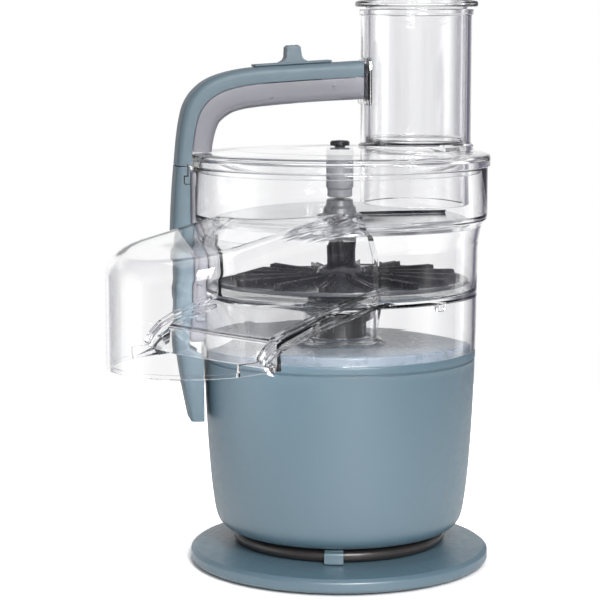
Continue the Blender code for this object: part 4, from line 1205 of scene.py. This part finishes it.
def make_armature():
    """The armature's laminations with copper in every slot, its shaft and the commutator."""
    slots = ARMATURE_SLOTS
    tooth = ((-11, 19.2), (-10, 20.0), (10, 20.0), (11, 19.2), (9, 16.8), (10, 11.0), (20, 11.0),
             (21, 16.8))  # degrees and radius
    outline = [polar(radius, 360 / slots * i + step) for i in range(slots)
               for step, radius in tooth]
    core = cut(prism(outline, 51.0, 79.0), cylinder(3.3, 40, 90))
    add("armature_core", motor_place(core), "iron", "rotor", "rotor_core")
    wires = [cylinder(2.6, 48.6, 81.4, polar(14.0, 360 / slots * (i + 0.5)), SMALL, 0.6)
             for i in range(slots)]
    add("armature_winding", motor_place(gathered(wires)), "copper", "rotor")
    shaft = cylinder(3.0, 25.0, 109.0, fillet=0.5)
    add("armature_shaft", motor_place(shaft), "motor_steel", "rotor", "motor_shaft")
    gaps = around(box((7.6, 10.0), (-0.25, 0.25), (34.0, 45.0)), slots)
    bars = cut(ring(3.3, 9.0, 35.0, 46.0), *gaps)
    add("commutator_bars", motor_place(bars), "copper", "rotor", "commutator")


def make_inner_pieces():
    """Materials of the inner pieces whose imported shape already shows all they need."""
    for node_name, finish in (
        ("bottom_cover", "charcoal"), ("gear_plate", "plated"), ("lower_bracket", "plated"),
        ("motor_stator", "iron"), ("brush_holder_inner", "charcoal"),
        ("brush_holder_outer", "charcoal"), ("control_board", "board"), ("capacitor", "white"),
        ("reed_switch_board", "board"), ("cooling_fan", "charcoal"),
        ("motor_pinion", "motor_steel"), ("drive_gear", "white"), ("interlock_rod", "white"),
        ("interlock_magnet", "plated"), ("slider_carriage", "charcoal"), ("lid_rod", "white"),
    ):
        for place in bpy.data.objects[node_name].material_slots:
            place.material = FINISHES[finish]


# ---------------- camera, floor and light

VIEW_AZIMUTH = -10.5
CAMERA_DISTANCE = 1150.0
CAMERA_Z = 299.5
AIM_LEFT, AIM_Z = 22.8, 152.1
LENS = 120.4
FLOOR_R, FLOOR_LEVEL = 0.62, -0.0002  # in metres, just clear of the feet
DIFFUSE_FILL = 0.46  # how much of the studio's brightness falls on dull surfaces
WHITE = (1.0, 1.0, 1.0)


def turn_to(obj, place, aim):
    """Turns the -Z axis of an object at a place towards an aim."""
    obj.rotation_mode = "QUATERNION"
    obj.rotation_quaternion = (Vector(aim) - Vector(place)).to_track_quat("-Z", "Y")


def make_camera():
    """A long lens, a little above the lid, turned towards the handle's side."""
    turn = math.radians(VIEW_AZIMUTH)
    data = bpy.data.cameras.new("camera")
    data.lens = LENS
    data.sensor_width = 36.0
    data.clip_start, data.clip_end = 0.02, 40.0
    place = Vector((math.sin(turn), -math.cos(turn), 0)) * CAMERA_DISTANCE
    place.z = CAMERA_Z
    aim = Vector((-math.cos(turn), -math.sin(turn), 0)) * AIM_LEFT
    aim.z = AIM_Z
    camera = linked("camera", data)
    camera.location = place * MM
    turn_to(camera, place, aim)
    bpy.context.scene.camera = camera


def make_light(name, place, aim, size, power, mirrored=True):
    """A soft lamp; one that isn't mirrored lights the object but shows in no reflection."""
    data = bpy.data.lights.new(name, "AREA")
    data.shape = "RECTANGLE"
    data.size, data.size_y = size
    data.energy = power
    light = linked(name, data)
    light.location = place
    turn_to(light, place, aim)
    light.visible_glossy = mirrored


def make_lights():
    centre = (0.0, 0.0, 0.16)
    make_light("softbox_front", (0.09, -1.38, 0.88), (0.0, 0.0, 0.12), (0.5, 0.84), 37.0)
    make_light("softbox_left", (-1.5, 0.4, 0.5), centre, (0.4, 1.4), 1.4, mirrored=False)
    make_light("rim_right", (1.5, 0.5, 0.4), centre, (0.4, 1.4), 2.0, mirrored=False)
    make_light("overhead", (0.0, 0.1, 1.7), centre, (1.2, 1.2), 6.0)


def make_world():
    """The studio round the object, which the clear and glossy pieces show.

    It is a white horizon with four dark bands, a dim ceiling and a dark right end. Glossy
    surfaces also see a bright left end and a darker low front, and dull surfaces get only a
    part of its light. The camera itself sees plain white.
    """
    world = bpy.data.worlds.new("studio")
    world.use_nodes = True
    tree = world.node_tree
    tree.nodes.clear()
    rays = node(tree, "LightPath", {}).outputs
    place = node(tree, "TexCoord", {}).outputs["Generated"]
    x, y, z = node(tree, "SeparateXYZ", {0: place}).outputs
    across = math_node(tree, "ABSOLUTE", product(tree, x, y))
    bands = smooth_range(tree, across, 0.34, 0.48, 1.0, 0.0)
    ceiling = smooth_range(tree, z, 0.38, 0.62, 1.0, 0.16)
    right = smooth_range(tree, x, 0.90, 0.97, 1.0, 0.1)
    shade = product(tree, bands, ceiling, right)
    left = smooth_range(tree, x, -0.95, -0.995, 0.0, 1.5)
    front = smooth_range(tree, y, -0.2, -0.5, 0.0, 0.55)
    low_front = product(tree, front, smooth_range(tree, z, 0.02, 0.14, 1.0, 0.0))
    shine = product(tree, math_node(tree, "SUBTRACT", left, low_front), rays["Is Glossy Ray"])
    fill = between(tree, rays["Is Diffuse Ray"], 1.0, DIFFUSE_FILL, 0.0, 1.0)
    studio = node(tree, "Background", {
        "Color": blend_colours(tree, shade, (0.15, 0.145, 0.19), WHITE),
        "Strength": math_node(tree, "ADD", fill, shine),
    })
    seen = node(tree, "Background", {"Color": (*WHITE, 1.0), "Strength": 1.0})
    mix = node(
        tree, "MixShader", {0: rays["Is Camera Ray"], 1: studio.outputs[0], 2: seen.outputs[0]}
    )
    node(tree, "OutputWorld", {"Surface": mix.outputs[0]})
    bpy.context.scene.world = world


def make_floor():
    """A round white table top with a slight mottle. It glows away from the plate, as bright as
    the white behind it, but lends the object little of that light. The glow fades out towards
    the plate and is gone under it: a painted contact shadow."""
    shape = bmesh.new()
    bmesh.ops.create_circle(shape, cap_ends=True, radius=FLOOR_R, segments=96)
    floor = object_of("floor", shape)
    floor.location = (0.0, 0.0, FLOOR_LEVEL)
    paint = plastic("floor_paint", (0.93, 0.93, 0.93), 0.7, grain=200.0, depth=0.1)
    tree = paint.node_tree
    place = node(tree, "TexCoord", {}).outputs["Object"]
    reach = node(tree, "VectorMath", {0: place}, operation="LENGTH").outputs["Value"]
    plate = PLATE_R * MM
    # painted contact shadow: the floor's glow is zero under the plate and fades in outside it
    glow_with_painted_shadow = smooth_range(tree, reach, 0.9 * plate, 1.4 * plate, 0.0, 0.9)
    rays = node(tree, "LightPath", {}).outputs
    bounced = math_node(tree, "ADD", rays["Is Diffuse Ray"], rays["Is Glossy Ray"])
    lent = between(tree, bounced, 1.0, 0.2, 0.0, 1.0)
    set_inputs(tree, tree.nodes["Principled BSDF"], {
        "Emission Color": (*WHITE, 1.0),
        "Emission Strength": product(tree, glow_with_painted_shadow, lent),
    })
    floor.data.materials.append(paint)


def set_colour_management():
    """Plain colours, and enough bounces for light through several clear walls."""
    scene = bpy.context.scene
    scene.view_settings.view_transform = "Standard"
    scene.cycles.max_bounces = 20
    scene.cycles.transmission_bounces = 20
    scene.cycles.glossy_bounces = 6
    scene.cycles.transparent_max_bounces = 24
    scene.cycles.use_denoising = True


set_colour_management()
make_camera()
make_world()
make_floor()
make_lights()
FINISHES = make_materials()

make_cord()
make_strain_relief()
make_plate()
make_underside()
make_feet()
make_screws()
make_cord_clip()
make_housing()
make_deck()
make_spindle()
make_bowl()
make_hood()
make_bowl_handle()
make_carrier()
make_slinger()
make_disc()
make_lid()
make_lid_centre()
make_lid_handle()
make_slider()
make_pusher()
make_bearings()
make_armature()
make_inner_pieces()
